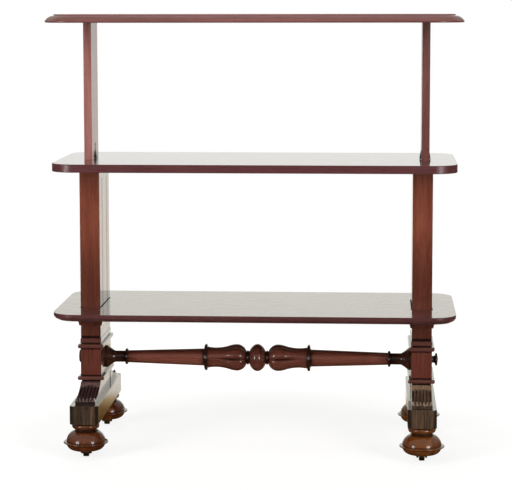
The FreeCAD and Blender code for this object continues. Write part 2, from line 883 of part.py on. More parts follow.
# Pedestals, sleds, leaves
keep_pair("pedestal", make_pedestal())
upper_band = moulding(standard_width, standard_depth, upper_band_reach,
                      pedestal_top, upper_band_height, band_round)
astragal = moulding(standard_width, standard_depth, astragal_reach,
                    astragal_base, astragal_height, astragal_round)
lower_band = moulding(pedestal_width, pedestal_depth, lower_band_reach,
                      lower_band_base, lower_band_height, band_round)
pieces["upper_bands"] = group(both_sides(upper_band))
pieces["astragals"] = group(both_sides(astragal))
pieces["lower_bands"] = group(both_sides(lower_band))
keep_pair("sled", make_sled())
keep_pair("leaves", group(front_and_back(make_front_leaf())))

# Feet and castors
bun = make_bun()
castor_plate = make_castor_plate()
castor_fork = group([make_castor_fork(), axle_pin(0)])
castor_wheel = make_castor_wheel()
plates = []
screws = []
for side_name, side in (("left", -1), ("right", 1)):
    for end_name, end in (("front", -1), ("back", 1)):
        place = Vector(side * trestle_x, end * foot_y, 0)
        name = side_name + "_" + end_name
        pieces[name + "_bun_foot"] = bun.translated(place)
        pieces[name + "_castor_fork"] = castor_fork.translated(place)
        pieces[name + "_castor_wheel"] = castor_wheel.translated(place)
        plates.append(castor_plate.translated(place))
        screws.extend(screw.translated(place) for screw in castor_screw_set(0))
pieces["castor_plates"] = group(plates)
pieces["castor_screws"] = group(screws)

# Stretcher
pieces["stretcher"] = make_stretcher()
pieces["stretcher_bolts"] = group(both_sides(make_bolt()))
keep_pair("boss", make_boss())

os.makedirs("parts", exist_ok=True)
for node, shape in pieces.items():
    shape.exportStep("parts/" + node + ".step")
print(len(pieces), "pieces, travel", round(travel, 2))
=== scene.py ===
# %% [markdown]
# # A mahogany dumb waiter with three tiers
#
# This lesson dresses a imported model of a dumb waiter: three polished tiers, two flat posts that slide down
# into hollow standards, carved brackets, a turned stretcher and bun feet on sunk castors. The imported model
# is the fixed frame. Every piece made here is in metres and lies where the frame says, and all but the cords
# to the posts ride on one of its bodies, so the tiers can still slide and the castors can still turn.

# %% Load the imported part
import json
import math
from collections import namedtuple

import bmesh
import bpy
import numpy as np
from mathutils import Matrix, Vector

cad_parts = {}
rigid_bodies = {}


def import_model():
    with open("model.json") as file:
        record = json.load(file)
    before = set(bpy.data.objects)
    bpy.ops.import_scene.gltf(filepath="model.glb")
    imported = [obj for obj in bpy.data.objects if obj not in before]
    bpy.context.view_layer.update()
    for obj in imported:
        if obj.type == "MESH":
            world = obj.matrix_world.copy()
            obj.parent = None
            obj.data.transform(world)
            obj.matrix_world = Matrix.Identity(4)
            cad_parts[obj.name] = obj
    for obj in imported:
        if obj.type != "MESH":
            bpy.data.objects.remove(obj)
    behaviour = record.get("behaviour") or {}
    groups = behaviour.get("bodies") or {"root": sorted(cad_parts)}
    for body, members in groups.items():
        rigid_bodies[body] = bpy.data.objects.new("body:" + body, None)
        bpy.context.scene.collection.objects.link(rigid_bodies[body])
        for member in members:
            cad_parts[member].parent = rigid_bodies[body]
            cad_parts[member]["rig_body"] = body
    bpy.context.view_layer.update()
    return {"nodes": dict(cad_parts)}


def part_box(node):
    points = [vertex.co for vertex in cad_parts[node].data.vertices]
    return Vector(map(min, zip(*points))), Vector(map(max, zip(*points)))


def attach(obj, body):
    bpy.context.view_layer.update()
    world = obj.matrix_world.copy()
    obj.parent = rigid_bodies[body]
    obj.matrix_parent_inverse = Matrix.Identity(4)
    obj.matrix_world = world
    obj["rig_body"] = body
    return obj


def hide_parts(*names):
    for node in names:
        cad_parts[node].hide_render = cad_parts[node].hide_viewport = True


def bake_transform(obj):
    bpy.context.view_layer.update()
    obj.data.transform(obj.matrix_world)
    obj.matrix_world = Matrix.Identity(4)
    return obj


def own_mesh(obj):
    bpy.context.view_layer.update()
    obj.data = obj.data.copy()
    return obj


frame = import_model()
scene = bpy.context.scene
scene.view_settings.view_transform = "Standard"

# %% [markdown]
# ## The camera
#
# The photograph was taken from straight in front, a little to the right, with the eye just above the top
# tier. A long lens keeps the posts nearly parallel, and a small shift of the lens stands in for part of the
# tilt. The place and the tilt come from the edges of the tiers and the feet in the picture, and the focal
# length is given in pixels of that picture.

# %% Camera
PHOTO_WIDTH = 512
FOCAL_PIXELS = 1954.6
CAMERA_PLACE = (0.3145, -5.1227, 1.1659)
CAMERA_YAW = 0.06191
CAMERA_PITCH = 0.10743
CAMERA_ROLL = 0.00119
LENS_SHIFT = -0.06

lens = bpy.data.cameras.new("studio_camera")
lens.lens = FOCAL_PIXELS / PHOTO_WIDTH * lens.sensor_width
lens.shift_y = LENS_SHIFT
camera = bpy.data.objects.new("studio_camera", lens)
camera.location = CAMERA_PLACE
camera.rotation_euler = (math.pi / 2 - CAMERA_PITCH, CAMERA_ROLL, CAMERA_YAW)
scene.collection.objects.link(camera)
scene.camera = camera
print("lens", round(lens.lens, 1), "mm")

# %% [markdown]
# ## Small helpers for nodes
#
# Shader trees and geometry trees are both nodes joined by links. One helper adds a node and fills its
# sockets, with a value or with another node's output, so that each recipe below reads from top to bottom.
# The others wrap the few nodes that every recipe needs: sums, blends, ranges and ramps.

# %% Node helpers
def add(tree, kind, options=None, **sockets):
    """A new node. An underscore in the name of a socket stands for a space."""
    made = tree.nodes.new(kind)
    for name, value in (options or {}).items():
        setattr(made, name, value)
    for name, value in sockets.items():
        fill(tree, made.inputs[name.replace("_", " ")], value)
    return made


def fill(tree, socket, value):
    if isinstance(value, bpy.types.NodeSocket):
        tree.links.new(value, socket)
    else:
        socket.default_value = value


def maths(tree, operation, *values):
    made = tree.nodes.new("ShaderNodeMath")
    made.operation = operation
    for socket, value in zip(made.inputs, values):
        fill(tree, socket, value)
    return made.outputs[0]


def spread(tree, value, low, high, to_low, to_high, smooth=False):
    made = add(tree, "ShaderNodeMapRange", Value=value,
               From_Min=low, From_Max=high, To_Min=to_low, To_Max=to_high)
    made.interpolation_type = "SMOOTHSTEP" if smooth else "LINEAR"
    return made.outputs["Result"]


# %% Blends and ramps
def blend_values(tree, share, first, second):
    made = tree.nodes.new("ShaderNodeMix")
    fill(tree, made.inputs["Factor"], share)
    fill(tree, made.inputs["A"], first)
    fill(tree, made.inputs["B"], second)
    return made.outputs["Result"]


def blend_colours(tree, share, first, second, way="MIX"):
    made = add(tree, "ShaderNodeMix", {"data_type": "RGBA", "blend_type": way})
    fill(tree, made.inputs["Factor"], share)
    colours = [socket for socket in made.inputs if socket.type == "RGBA"]
    fill(tree, colours[0], first)
    fill(tree, colours[1], second)
    return [socket for socket in made.outputs if socket.type == "RGBA"][0]


def blend_shaders(tree, share, first, second):
    made = add(tree, "ShaderNodeMixShader", Fac=share)
    tree.links.new(first, made.inputs[1])
    tree.links.new(second, made.inputs[2])
    return made.outputs[0]


def colour_ramp(tree, value, stops):
    """The colour for a value, from stops of (place, colour) in rising order."""
    made = add(tree, "ShaderNodeValToRGB", Fac=value)
    marks = made.color_ramp.elements
    for index, (place, colour) in ((0, stops[0]), (1, stops[-1])):
        marks[index].position = place
        marks[index].color = (*colour, 1.0)
    for place, colour in stops[1:-1]:
        marks.new(place).color = (*colour, 1.0)
    return made.outputs["Color"]


# %% [markdown]
# ## A white studio
#
# The picture has a pure white ground. Polished wood shows it too: tier tops and inner faces are seen at a
# grazing angle and mirror the white behind them, while the front faces mirror the dim room where the
# photographer stands. So the world is white to the camera. For reflections it is white behind the object,
# warmer near the floor, dim in front of it and dark below, and for the light that it gives it is a plain
# grey. A backdrop of real cards could do the same, but it would also show in views from behind.

# %% World
AMBIENT = 0.09
FRONT_LOW = 0.02
FRONT_LEVEL = 0.12
FRONT_ABOVE = 0.50
PURE_WHITE = (1.0, 1.0, 1.0, 1.0)
WARM_WHITE = (1.0, 0.945, 0.850, 1.0)
COOL_WHITE = (1.0, 0.995, 0.985, 1.0)
HIGH_WHITE = (1.03, 1.03, 0.945, 1.0)
# Ranges of a direction of length 1: how far it rises, and for the backdrop how far it points back
HORIZON = (-0.12, 0.03)
CEILING = (0.05, 0.60)
BACKDROP = (0.88, 0.965)
WARM_TO_COOL = (-0.12, 0.06)
COOL_TO_HIGH = (0.06, 0.14)

world = bpy.data.worlds.new("white_studio")
world.use_nodes = True
scene.world = world
sky = world.node_tree
rays = add(sky, "ShaderNodeLightPath").outputs
direction = add(sky, "ShaderNodeTexCoord").outputs["Generated"]
heading = add(sky, "ShaderNodeSeparateXYZ", Vector=direction).outputs
level = spread(sky, heading["Z"], *HORIZON, FRONT_LOW, FRONT_LEVEL, smooth=True)
ceiling = spread(sky, heading["Z"], *CEILING, 0.0, FRONT_ABOVE - FRONT_LEVEL, smooth=True)
room = maths(sky, "ADD", level, ceiling)
backdrop = spread(sky, heading["Y"], *BACKDROP, 0.0, 1.0, smooth=True)
mirrored = blend_values(sky, backdrop, room, 1.0)
indirect = blend_values(sky, rays["Is Glossy Ray"], AMBIENT, mirrored)
seen = maths(sky, "MAXIMUM", rays["Is Camera Ray"], rays["Is Transmission Ray"])
rising = spread(sky, heading["Z"], *WARM_TO_COOL, 0.0, 1.0)
studio_white = blend_colours(sky, rising, WARM_WHITE, COOL_WHITE)
higher = spread(sky, heading["Z"], *COOL_TO_HIGH, 0.0, 1.0)
studio_white = blend_colours(sky, higher, studio_white, HIGH_WHITE)
tint = blend_colours(sky, seen, studio_white, PURE_WHITE)
fill(sky, sky.nodes["Background"].inputs["Color"], tint)
fill(sky, sky.nodes["Background"].inputs["Strength"], blend_values(sky, seen, indirect, 1.0))
print("world nodes", len(sky.nodes))

# %% [markdown]
# ## The floor
#
# A white paper floor keeps a faint shadow. To the camera it glows up to white, a little less under the object
# so that the shadow stays, and fully at its rim so that no edge shows. A plain lit floor would come out grey
# somewhere. Polished wood near the floor mirrors it, so for reflections the paper is dim in front, golden
# brown in the shade under the tiers, and pale behind.

# %% Paper, as the camera sees it
FLOOR_RADIUS = 1.5
FLOOR_SEGMENTS = 96
FLOOR_COLOUR = (0.80, 0.78, 0.74, 1.0)
FLOOR_SHARE_LIT = 0.30
FLOOR_GLOW = 1.20
SHADOW_REACH = 0.45

floor_mesh = bpy.data.meshes.new("studio_floor")
disc = bmesh.new()
bmesh.ops.create_circle(disc, cap_ends=True, segments=FLOOR_SEGMENTS, radius=FLOOR_RADIUS)
disc.to_mesh(floor_mesh)
disc.free()
floor = bpy.data.objects.new("studio_floor", floor_mesh)
scene.collection.objects.link(floor)
paper = bpy.data.materials.new("white_paper")
paper.use_nodes = True
paper_tree = paper.node_tree
paper_tree.nodes.clear()
paper_rays = add(paper_tree, "ShaderNodeLightPath").outputs
on_floor = add(paper_tree, "ShaderNodeTexCoord").outputs["Object"]
away = add(paper_tree, "ShaderNodeVectorMath", {"operation": "LENGTH"}, Vector=on_floor).outputs["Value"]
whiteness = spread(paper_tree, away, SHADOW_REACH, FLOOR_RADIUS, 1.0 - FLOOR_SHARE_LIT, 1.0, smooth=True)
glow_share = maths(paper_tree, "MULTIPLY", paper_rays["Is Camera Ray"], whiteness)
lit = add(paper_tree, "ShaderNodeBsdfDiffuse", Color=FLOOR_COLOUR).outputs[0]
glow = add(paper_tree, "ShaderNodeEmission", Color=PURE_WHITE, Strength=FLOOR_GLOW).outputs[0]
shown = blend_shaders(paper_tree, glow_share, lit, glow)
print("floor radius", FLOOR_RADIUS, "m")

# %% Paper, as the polish mirrors it
# Distance behind the middle of the object, and the colour there
FLOOR_MIRRORED = (
    (-0.50, (0.02, 0.014, 0.009)),
    (0.10, (0.055, 0.028, 0.008)),
    (0.42, (0.19, 0.105, 0.026)),
    (0.54, (0.46, 0.33, 0.16)),
    (0.66, (0.84, 0.78, 0.66)),
    (0.85, (0.95, 0.90, 0.80)),
    (1.25, (0.84, 0.74, 0.56)),
)

nearest, furthest = FLOOR_MIRRORED[0][0], FLOOR_MIRRORED[-1][0]
back = add(paper_tree, "ShaderNodeSeparateXYZ", Vector=on_floor).outputs["Y"]
way_back = spread(paper_tree, back, nearest, furthest, 0.0, 1.0)
floor_stops = [((place - nearest) / (furthest - nearest), colour) for place, colour in FLOOR_MIRRORED]
floor_shade = colour_ramp(paper_tree, way_back, floor_stops)
mirror_glow = add(paper_tree, "ShaderNodeEmission", Color=floor_shade, Strength=1.0).outputs[0]
paper_surface = blend_shaders(paper_tree, paper_rays["Is Glossy Ray"], shown, mirror_glow)
add(paper_tree, "ShaderNodeOutputMaterial", Surface=paper_surface)
floor_mesh.materials.append(paper)
print("paper nodes", len(paper_tree.nodes))

# %% [markdown]
# ## Lamps
#
# Two tall soft boxes in front, one at each side, give most of the light and the short shadows under the
# tiers. A weak lamp at the camera fills the shadows, and a lamp above and one behind are for other views.
# Each bun foot shows two highlights low down, and so does the knop of the stretcher. Two low cards that only
# the polish sees make these, and the lamps don't show in it, so a tier's top never mirrors a glaring lamp.

# %% Lamps
Lamp = namedtuple("Lamp", "place size power spread only_mirrored", defaults=(False,))

LAMPS = {
    "soft_box_left": Lamp(place=(-2.45, -2.35, 1.65), size=(0.95, 2.30), power=21.0, spread=85.0),
    "soft_box_right": Lamp(place=(2.20, -2.30, 1.65), size=(0.95, 2.30), power=18.0, spread=85.0),
    "card_left": Lamp(place=(-2.45, -2.35, 0.49), size=(0.92, 0.98), power=7.2, spread=85.0,
                      only_mirrored=True),
    "card_right": Lamp(place=(2.05, -2.35, 0.49), size=(0.92, 0.98), power=7.2, spread=85.0,
                       only_mirrored=True),
    "front_fill": Lamp(place=(-0.25, -4.30, 0.90), size=(1.30, 1.30), power=3.0, spread=70.0),
    "lamp_above": Lamp(place=(0.1, -0.4, 3.2), size=(1.60, 1.60), power=20.0, spread=180.0),
    "lamp_behind": Lamp(place=(-0.6, 3.2, 2.4), size=(1.40, 1.40), power=40.0, spread=180.0),
}
LAMP_TARGET = Vector((0.0, 0.0, 0.95))

for name, plan in LAMPS.items():
    lamp = bpy.data.lights.new(name, "AREA")
    lamp.shape = "RECTANGLE"
    lamp.size, lamp.size_y = plan.size
    lamp.energy = plan.power
    lamp.spread = math.radians(plan.spread)
    lamp_object = bpy.data.objects.new(name, lamp)
    lamp_object.location = plan.place
    lamp_object.rotation_euler = (LAMP_TARGET - Vector(plan.place)).to_track_quat("-Z", "Y").to_euler()
    lamp_object.visible_glossy = plan.only_mirrored
    lamp_object.visible_diffuse = not plan.only_mirrored
    scene.collection.objects.link(lamp_object)
print("lamps", len(LAMPS))

# %% [markdown]
# ## French-polished mahogany
#
# Mahogany is red-brown with long streaks, fine dark pores and slow changes of tone. The polish is a clear
# coat over it. A picture of wood would repeat and slide, so the grain is built from noise in the piece's own
# coordinates, drawn out along the grain. The coat is smooth, and only the wood below it has a little bump.
# Two things darken old polish, each partly dirt and partly painted shade: darkening in the seams beside a
# moulding, given as heights, and darkening in hollows, rings and shaded sides, which a piece keeps as an
# attribute of its points. No two boards here came from one log, so each kind of piece has three tones of its
# own, from dark to light, and the same recipe makes all of them.

# %% Parts of the recipe
PLUME_SCALES = (1.6, 5.0, 5.0)
SEAM_CORE = 0.4
Seam = namedtuple("Seam", "height reach left")


def plume_figure(tree, place):
    """Slow flames across a wide board."""
    bent = add(tree, "ShaderNodeMapping", Vector=place, Scale=PLUME_SCALES).outputs[0]
    plume = add(tree, "ShaderNodeTexWave", {"bands_direction": "Y"}, Vector=bent, Scale=1.1,
                Distortion=7.0, Detail=3.0, Detail_Scale=0.7, Detail_Roughness=0.55)
    return plume.outputs["Fac"]


# The hollow attribute holds darkening that is partly dirt in rings and partly painted shade in grooves,
# carving and shaded sides.
def dirt_and_shade_in_hollows(tree, clean, on_ridge, in_hollow):
    depth = add(tree, "ShaderNodeAttribute", {"attribute_name": "hollow"}).outputs["Fac"]
    return maths(tree, "MULTIPLY", clean, spread(tree, depth, 0.0, 1.0, on_ridge, in_hollow))


def dirt_and_shade_in_seams(tree, clean, place, seams):
    """Darkens what lies within reach of a seam's height, down to the share of the tone that is left."""
    up = add(tree, "ShaderNodeSeparateXYZ", Vector=place).outputs["Z"]
    for seam in seams:
        off = maths(tree, "ABSOLUTE", maths(tree, "SUBTRACT", up, seam.height))
        near = spread(tree, off, SEAM_CORE * seam.reach, seam.reach, seam.left, 1.0, smooth=True)
        clean = maths(tree, "MULTIPLY", clean, near)
    return clean


# %% Mahogany recipe
GRAIN_ACROSS = 46.0
GRAIN_ALONG = 2.4
GRAIN_TURN = (0.02, 0.03, 0.02)
STREAK_SHARE = 0.55
FIBRE_SHARE = 0.25
PATCH_SHARE = 0.20
TONE_PLACES = (0.33, 0.50, 0.68)
PORE_EDGE = (0.60, 0.72)
PORE_BUMP = 0.05
PORE_DEPTH = 0.0003
FIBRE_RANGE = (0.3, 0.7)
WOOD_ROUGHNESS = (0.24, 0.36)
WOOD_GLOSS = 0.2
SMOOTH_POLISH = 0.035
POLISH_IOR = 1.5


def mahogany(name, grain, tones, figure=0.0, across=GRAIN_ACROSS, along=GRAIN_ALONG, pore=0.62, coat=1.0,
             polish=SMOOTH_POLISH, hollows=None, seams=()):
    made = bpy.data.materials.new(name)
    made.use_nodes = True
    tree = made.node_tree
    wood = tree.nodes["Principled BSDF"]
    place = add(tree, "ShaderNodeTexCoord").outputs["Object"]
    scales = [along if axis == grain else across for axis in "xyz"]
    drawn = add(tree, "ShaderNodeMapping", Vector=place, Scale=scales, Rotation=GRAIN_TURN).outputs[0]
    streak = add(tree, "ShaderNodeTexNoise", Vector=drawn, Scale=1.0, Detail=6.0, Roughness=0.62,
                 Distortion=0.7).outputs["Fac"]
    fibre = add(tree, "ShaderNodeTexNoise", Vector=drawn, Scale=7.0, Detail=4.0, Roughness=0.6).outputs["Fac"]
    speck = add(tree, "ShaderNodeTexNoise", Vector=drawn, Scale=24.0, Detail=2.0).outputs["Fac"]
    patch = add(tree, "ShaderNodeTexNoise", Vector=place, Scale=5.0, Detail=2.0,
                Distortion=1.2).outputs["Fac"]
    tone = maths(tree, "MULTIPLY", streak, STREAK_SHARE)
    tone = maths(tree, "MULTIPLY_ADD", fibre, FIBRE_SHARE, tone)
    tone = maths(tree, "MULTIPLY_ADD", patch, PATCH_SHARE, tone)
    if figure:
        tone = blend_values(tree, figure, tone, plume_figure(tree, place))
    toned = colour_ramp(tree, tone, list(zip(TONE_PLACES, tones)))
    pores = spread(tree, speck, *PORE_EDGE, 1.0, pore)
    clean = pores
    if hollows:
        clean = dirt_and_shade_in_hollows(tree, clean, *hollows)
    if seams:
        clean = dirt_and_shade_in_seams(tree, clean, place, seams)
    fill(tree, wood.inputs["Base Color"], blend_colours(tree, 1.0, toned, clean, "MULTIPLY"))
    fill(tree, wood.inputs["Roughness"], spread(tree, fibre, *FIBRE_RANGE, *WOOD_ROUGHNESS))
    bump = add(tree, "ShaderNodeBump", Height=pores, Strength=PORE_BUMP, Distance=PORE_DEPTH)
    fill(tree, wood.inputs["Normal"], bump.outputs["Normal"])
    wood.inputs["Specular IOR Level"].default_value = WOOD_GLOSS
    wood.inputs["Coat Weight"].default_value = coat
    wood.inputs["Coat Roughness"].default_value = polish
    wood.inputs["Coat IOR"].default_value = POLISH_IOR
    return made


# %% [markdown]
# ## Metals, cord and plain beech
#
# Small pieces have plain finishes with a little life in them: darkened brass with worn spots, blued steel
# with fine scratches, black iron, and undyed cotton cord. One recipe of stains and scratches makes all four,
# because at this size only tone and shine tell them apart. The dowels are beech, with the grain of the recipe
# above.

# %% Small finishes
STAIN_PLACES = (0.38, 0.66)
STAIN_RANGE = (0.3, 0.7)
SCRATCH_FINENESS = 12.0
SCRATCH_BUMP = 0.15
SCRATCH_DEPTH = 0.0002
BEECH_TONES = ((0.36, 0.23, 0.12), (0.48, 0.32, 0.18), (0.58, 0.41, 0.25))


def stained_finish(name, fresh, dulled, smoothest, roughest, scale, metallic=1.0):
    made = bpy.data.materials.new(name)
    made.use_nodes = True
    tree = made.node_tree
    surface = tree.nodes["Principled BSDF"]
    place = add(tree, "ShaderNodeTexCoord").outputs["Object"]
    stain = add(tree, "ShaderNodeTexNoise", Vector=place, Scale=scale, Detail=5.0,
                Roughness=0.65).outputs["Fac"]
    toned = colour_ramp(tree, stain, list(zip(STAIN_PLACES, (dulled, fresh))))
    fill(tree, surface.inputs["Base Color"], toned)
    fill(tree, surface.inputs["Roughness"], spread(tree, stain, *STAIN_RANGE, roughest, smoothest))
    scratch = add(tree, "ShaderNodeTexNoise", Vector=place, Scale=scale * SCRATCH_FINENESS, Detail=2.0)
    bump = add(tree, "ShaderNodeBump", Height=scratch.outputs["Fac"], Strength=SCRATCH_BUMP,
               Distance=SCRATCH_DEPTH)
    fill(tree, surface.inputs["Normal"], bump.outputs["Normal"])
    surface.inputs["Metallic"].default_value = metallic
    return made


brass = stained_finish("castor_brass", fresh=(0.30, 0.19, 0.08), dulled=(0.07, 0.045, 0.022),
                       smoothest=0.28, roughest=0.55, scale=90.0)
steel = stained_finish("catch_steel", fresh=(0.16, 0.16, 0.17), dulled=(0.05, 0.05, 0.055),
                       smoothest=0.25, roughest=0.5, scale=120.0)
iron = stained_finish("fitting_iron", fresh=(0.07, 0.065, 0.06), dulled=(0.03, 0.028, 0.026),
                      smoothest=0.4, roughest=0.7, scale=110.0)
cotton = stained_finish("cotton_cord", fresh=(0.60, 0.53, 0.40), dulled=(0.42, 0.36, 0.26),
                        smoothest=0.75, roughest=0.95, scale=260.0, metallic=0.0)
beech = mahogany("dowel_beech", "z", BEECH_TONES)
print("small finishes", [finish.name for finish in (brass, steel, iron, cotton, beech)])

# %% [markdown]
# ## Eased edges
#
# No edge on old furniture is perfectly sharp. The frame's solids already have the right shape, so a copy of
# each board is cleaned of its triangles and gets a small bevel along its sharp edges. A board could also be
# drawn anew, but then it might not fit. The bevel only takes wood away, so the copy stays inside the solid
# that it stands for. One edge needs more: the lower rim of the top tier is rounded like a finger tip.

# %% Dressed pieces and the frame
def body_of(node):
    return frame["nodes"][node]["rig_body"]


def bake_modifiers(piece):
    graph = bpy.context.evaluated_depsgraph_get()
    result = bpy.data.meshes.new_from_object(piece.evaluated_get(graph))
    piece.modifiers.clear()
    piece.data = result


def keep(piece, body, finish, node):
    """Gives a piece its finish or finishes, and puts it in the place of a node of the frame."""
    piece.data.materials.clear()
    for each in (finish if isinstance(finish, tuple) else (finish,)):
        piece.data.materials.append(each)
    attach(piece, body)
    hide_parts(node)
    return piece


# %% Copies with eased edges
SAME_POINT = 1e-6
SAME_LEVEL = 1e-5
FLAT_ANGLE = 0.4
EASE_ANGLE = 42.0
EASE_SEGMENTS = 2
RIM_SEGMENTS = 6
NEAR_RIM = 0.9


def round_lower_rim(board, radius):
    """Rounds the outer edge of a tier's underside, and leaves the mortises inside it alone."""
    places = np.array([vertex.co for vertex in board.verts])
    lowest = places[:, 2].min()
    rim_x, rim_y = NEAR_RIM * places.max(axis=0)[:2]

    def on_rim(vertex):
        outside = abs(vertex.co.x) > rim_x or abs(vertex.co.y) > rim_y
        return outside and vertex.co.z - lowest < SAME_LEVEL

    rim = [edge for edge in board.edges if all(on_rim(vertex) for vertex in edge.verts)]
    bmesh.ops.bevel(board, geom=rim, offset=radius, offset_type="OFFSET", segments=RIM_SEGMENTS, profile=0.5,
                    affect="EDGES")


def eased(node, finish, ease, rim_radius=0.0):
    mesh = frame["nodes"][node].data.copy()
    board = bmesh.new()
    board.from_mesh(mesh)
    bmesh.ops.remove_doubles(board, verts=board.verts, dist=SAME_POINT)
    bmesh.ops.dissolve_limit(board, angle_limit=math.radians(FLAT_ANGLE), verts=board.verts,
                             edges=board.edges)
    if rim_radius:
        round_lower_rim(board, rim_radius)
    board.to_mesh(mesh)
    board.free()
    piece = bpy.data.objects.new(node + "_polished", mesh)
    scene.collection.objects.link(piece)
    bevel = piece.modifiers.new("eased_edges", "BEVEL")
    bevel.width = ease
    bevel.segments = EASE_SEGMENTS
    bevel.limit_method = "ANGLE"
    bevel.angle_limit = math.radians(EASE_ANGLE)
    flat = piece.modifiers.new("flat_faces", "WEIGHTED_NORMAL")
    flat.keep_sharp = True
    mesh.shade_smooth()
    bake_modifiers(piece)
    return keep(piece, body_of(node), finish, node)


# %% [markdown]
# ## Three tiers
#
# The tiers are wide boards with a faint plume in the grain. The top one is the palest, partly as painted
# light for the light that its moulded edge catches, and the lower one the darkest. The edge of the middle
# tier is rubbed dull by hands, so its edge faces get a second finish with a thin, rough coat. Faces are told
# apart by how they slope, which holds if the board changes size.

# %% Tiers
TIER_GRAIN = {"figure": 0.13, "across": 30.0, "pore": 0.85}
# The top tier's paler tones are partly painted light, for the light that its moulded edge catches.
TOP_TONES = ((0.122, 0.040, 0.037), (0.164, 0.057, 0.053), (0.210, 0.078, 0.069))
MIDDLE_TONES = ((0.090, 0.025, 0.024), (0.120, 0.035, 0.034), (0.155, 0.048, 0.043))
LOWER_TONES = ((0.066, 0.022, 0.022), (0.088, 0.031, 0.031), (0.114, 0.042, 0.040))
WORN_EDGE_TONES = ((0.066, 0.018, 0.019), (0.088, 0.025, 0.027), (0.114, 0.035, 0.034))
WORN_POLISH = 0.38
WORN_COAT = 0.45
BOARD_EASE = 0.0009
RIM_RADIUS = 0.0032
EDGE_SLOPE = 0.9

top_wood = mahogany("top_tier_mahogany", "x", TOP_TONES, **TIER_GRAIN)
middle_wood = mahogany("middle_tier_mahogany", "x", MIDDLE_TONES, **TIER_GRAIN)
lower_wood = mahogany("lower_tier_mahogany", "x", LOWER_TONES, **TIER_GRAIN)
worn_edge_wood = mahogany("middle_tier_edge_mahogany", "x", WORN_EDGE_TONES, polish=WORN_POLISH,
                          coat=WORN_COAT, **TIER_GRAIN)

top_tier = eased("top_tier", top_wood, BOARD_EASE, RIM_RADIUS)
middle_tier = eased("middle_tier", (middle_wood, worn_edge_wood), BOARD_EASE)
for face in middle_tier.data.polygons:
    face.material_index = 1 if abs(face.normal.z) < EDGE_SLOPE else 0
lower_tier = eased("lower_tier", lower_wood, BOARD_EASE)
print("tier faces", [len(tier.data.polygons) for tier in (top_tier, middle_tier, lower_tier)])

# %% [markdown]
# ## Posts, standards and pedestals
#
# Each leg is a flat post in a hollow standard, which stands on a pedestal between moulded bands. The left
# post is paler than the right one. Beside the mouldings the wood is darker, partly dirt and partly painted
# shade. Towards the foot of a standard, under the lower tier, it darkens slowly as painted shade, so a
# standard has one wide, faint seam as well as two narrow ones. The darkening could be painted on by hand, but
# heights that come from the frame stay right when a moulding moves.

# %% Woods of the legs, with dirt and painted shade beside the mouldings
SIDES = ("left", "right")
STANDARD_BOARDS = ("front_stile", "back_stile", "inner_side", "outer_side")
POST_COAT = 0.50
POST_TONES = {
    "left": ((0.200, 0.071, 0.059), (0.292, 0.116, 0.098), (0.380, 0.168, 0.144)),
    "right": ((0.106, 0.036, 0.031), (0.156, 0.059, 0.052), (0.208, 0.088, 0.079)),
}
STANDARD_TONES = ((0.110, 0.026, 0.015), (0.178, 0.046, 0.026), (0.258, 0.076, 0.042))
PEDESTAL_TONES = ((0.070, 0.017, 0.010), (0.115, 0.030, 0.019), (0.170, 0.051, 0.030))
BAND_TONES = ((0.068, 0.020, 0.014), (0.107, 0.036, 0.027), (0.160, 0.058, 0.039))
BAND_EASE = 0.0004
SEAM_LEFT = 0.12
ABOVE_ASTRAGAL = 0.0035
ABOVE_LOWER_BAND = 0.0015
# Painted shade: a wide, faint darkening towards the foot of a standard, under the lower tier.
STANDARD_FOOT_SHADE = Seam(height=0.34, reach=0.26, left=0.55)

astragal_low, astragal_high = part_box("astragals")
upper_band_low, upper_band_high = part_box("upper_bands")
lower_band_low, lower_band_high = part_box("lower_bands")
# Narrow seams beside the mouldings, partly dirt and partly painted shade where a moulding shades the wood.
standard_seams = (
    Seam(height=astragal_high.z + ABOVE_ASTRAGAL, reach=0.0050, left=SEAM_LEFT),
    Seam(height=(astragal_low.z + upper_band_high.z) / 2, reach=0.0030, left=SEAM_LEFT),
    STANDARD_FOOT_SHADE,
)
pedestal_seams = (
    Seam(height=upper_band_low.z, reach=0.0045, left=SEAM_LEFT),
    Seam(height=lower_band_high.z + ABOVE_LOWER_BAND, reach=0.0030, left=SEAM_LEFT),
    Seam(height=lower_band_low.z, reach=0.0080, left=SEAM_LEFT),
)
standard_wood = mahogany("standard_mahogany", "z", STANDARD_TONES, seams=standard_seams)
pedestal_wood = mahogany("pedestal_mahogany", "z", PEDESTAL_TONES, across=34.0, seams=pedestal_seams)
band_wood = mahogany("band_mahogany", "x", BAND_TONES)
print("seams at", [round(seam.height, 4) for seam in standard_seams + pedestal_seams])

# %% Boards of the legs
legs = []
for side in SIDES:
    post_wood = mahogany(side + "_post_mahogany", "z", POST_TONES[side], coat=POST_COAT)
    legs.append(eased(side + "_post", post_wood, BOARD_EASE))
    for board in STANDARD_BOARDS:
        legs.append(eased(side + "_standard_" + board, standard_wood, BOARD_EASE))
    legs.append(eased(side + "_pedestal", pedestal_wood, BOARD_EASE))
    legs.append(eased(side + "_collar", standard_wood, BOARD_EASE))
for node in ("upper_bands", "lower_bands", "astragals"):
    legs.append(eased(node, band_wood, BAND_EASE))
print("leg pieces", len(legs), "with", sum(len(piece.data.polygons) for piece in legs), "faces")

# %% [markdown]
# ## Sleds
#
# A sled is a rail that lies on two bun feet, with its four upright corners cut off. End grain drinks stain,
# so the ends are darker, with upright streaks. The cut corners are nearly black as painted shade, for faces
# that turn away from the lamps. One eased copy with three finishes is enough: each face takes the finish that
# suits the way it faces.

# %% Sleds
SLED_TONES = ((0.020, 0.014, 0.009), (0.058, 0.034, 0.021), (0.135, 0.074, 0.040))
SLED_END_TONES = ((0.006, 0.005, 0.004), (0.046, 0.028, 0.018), (0.190, 0.108, 0.060))
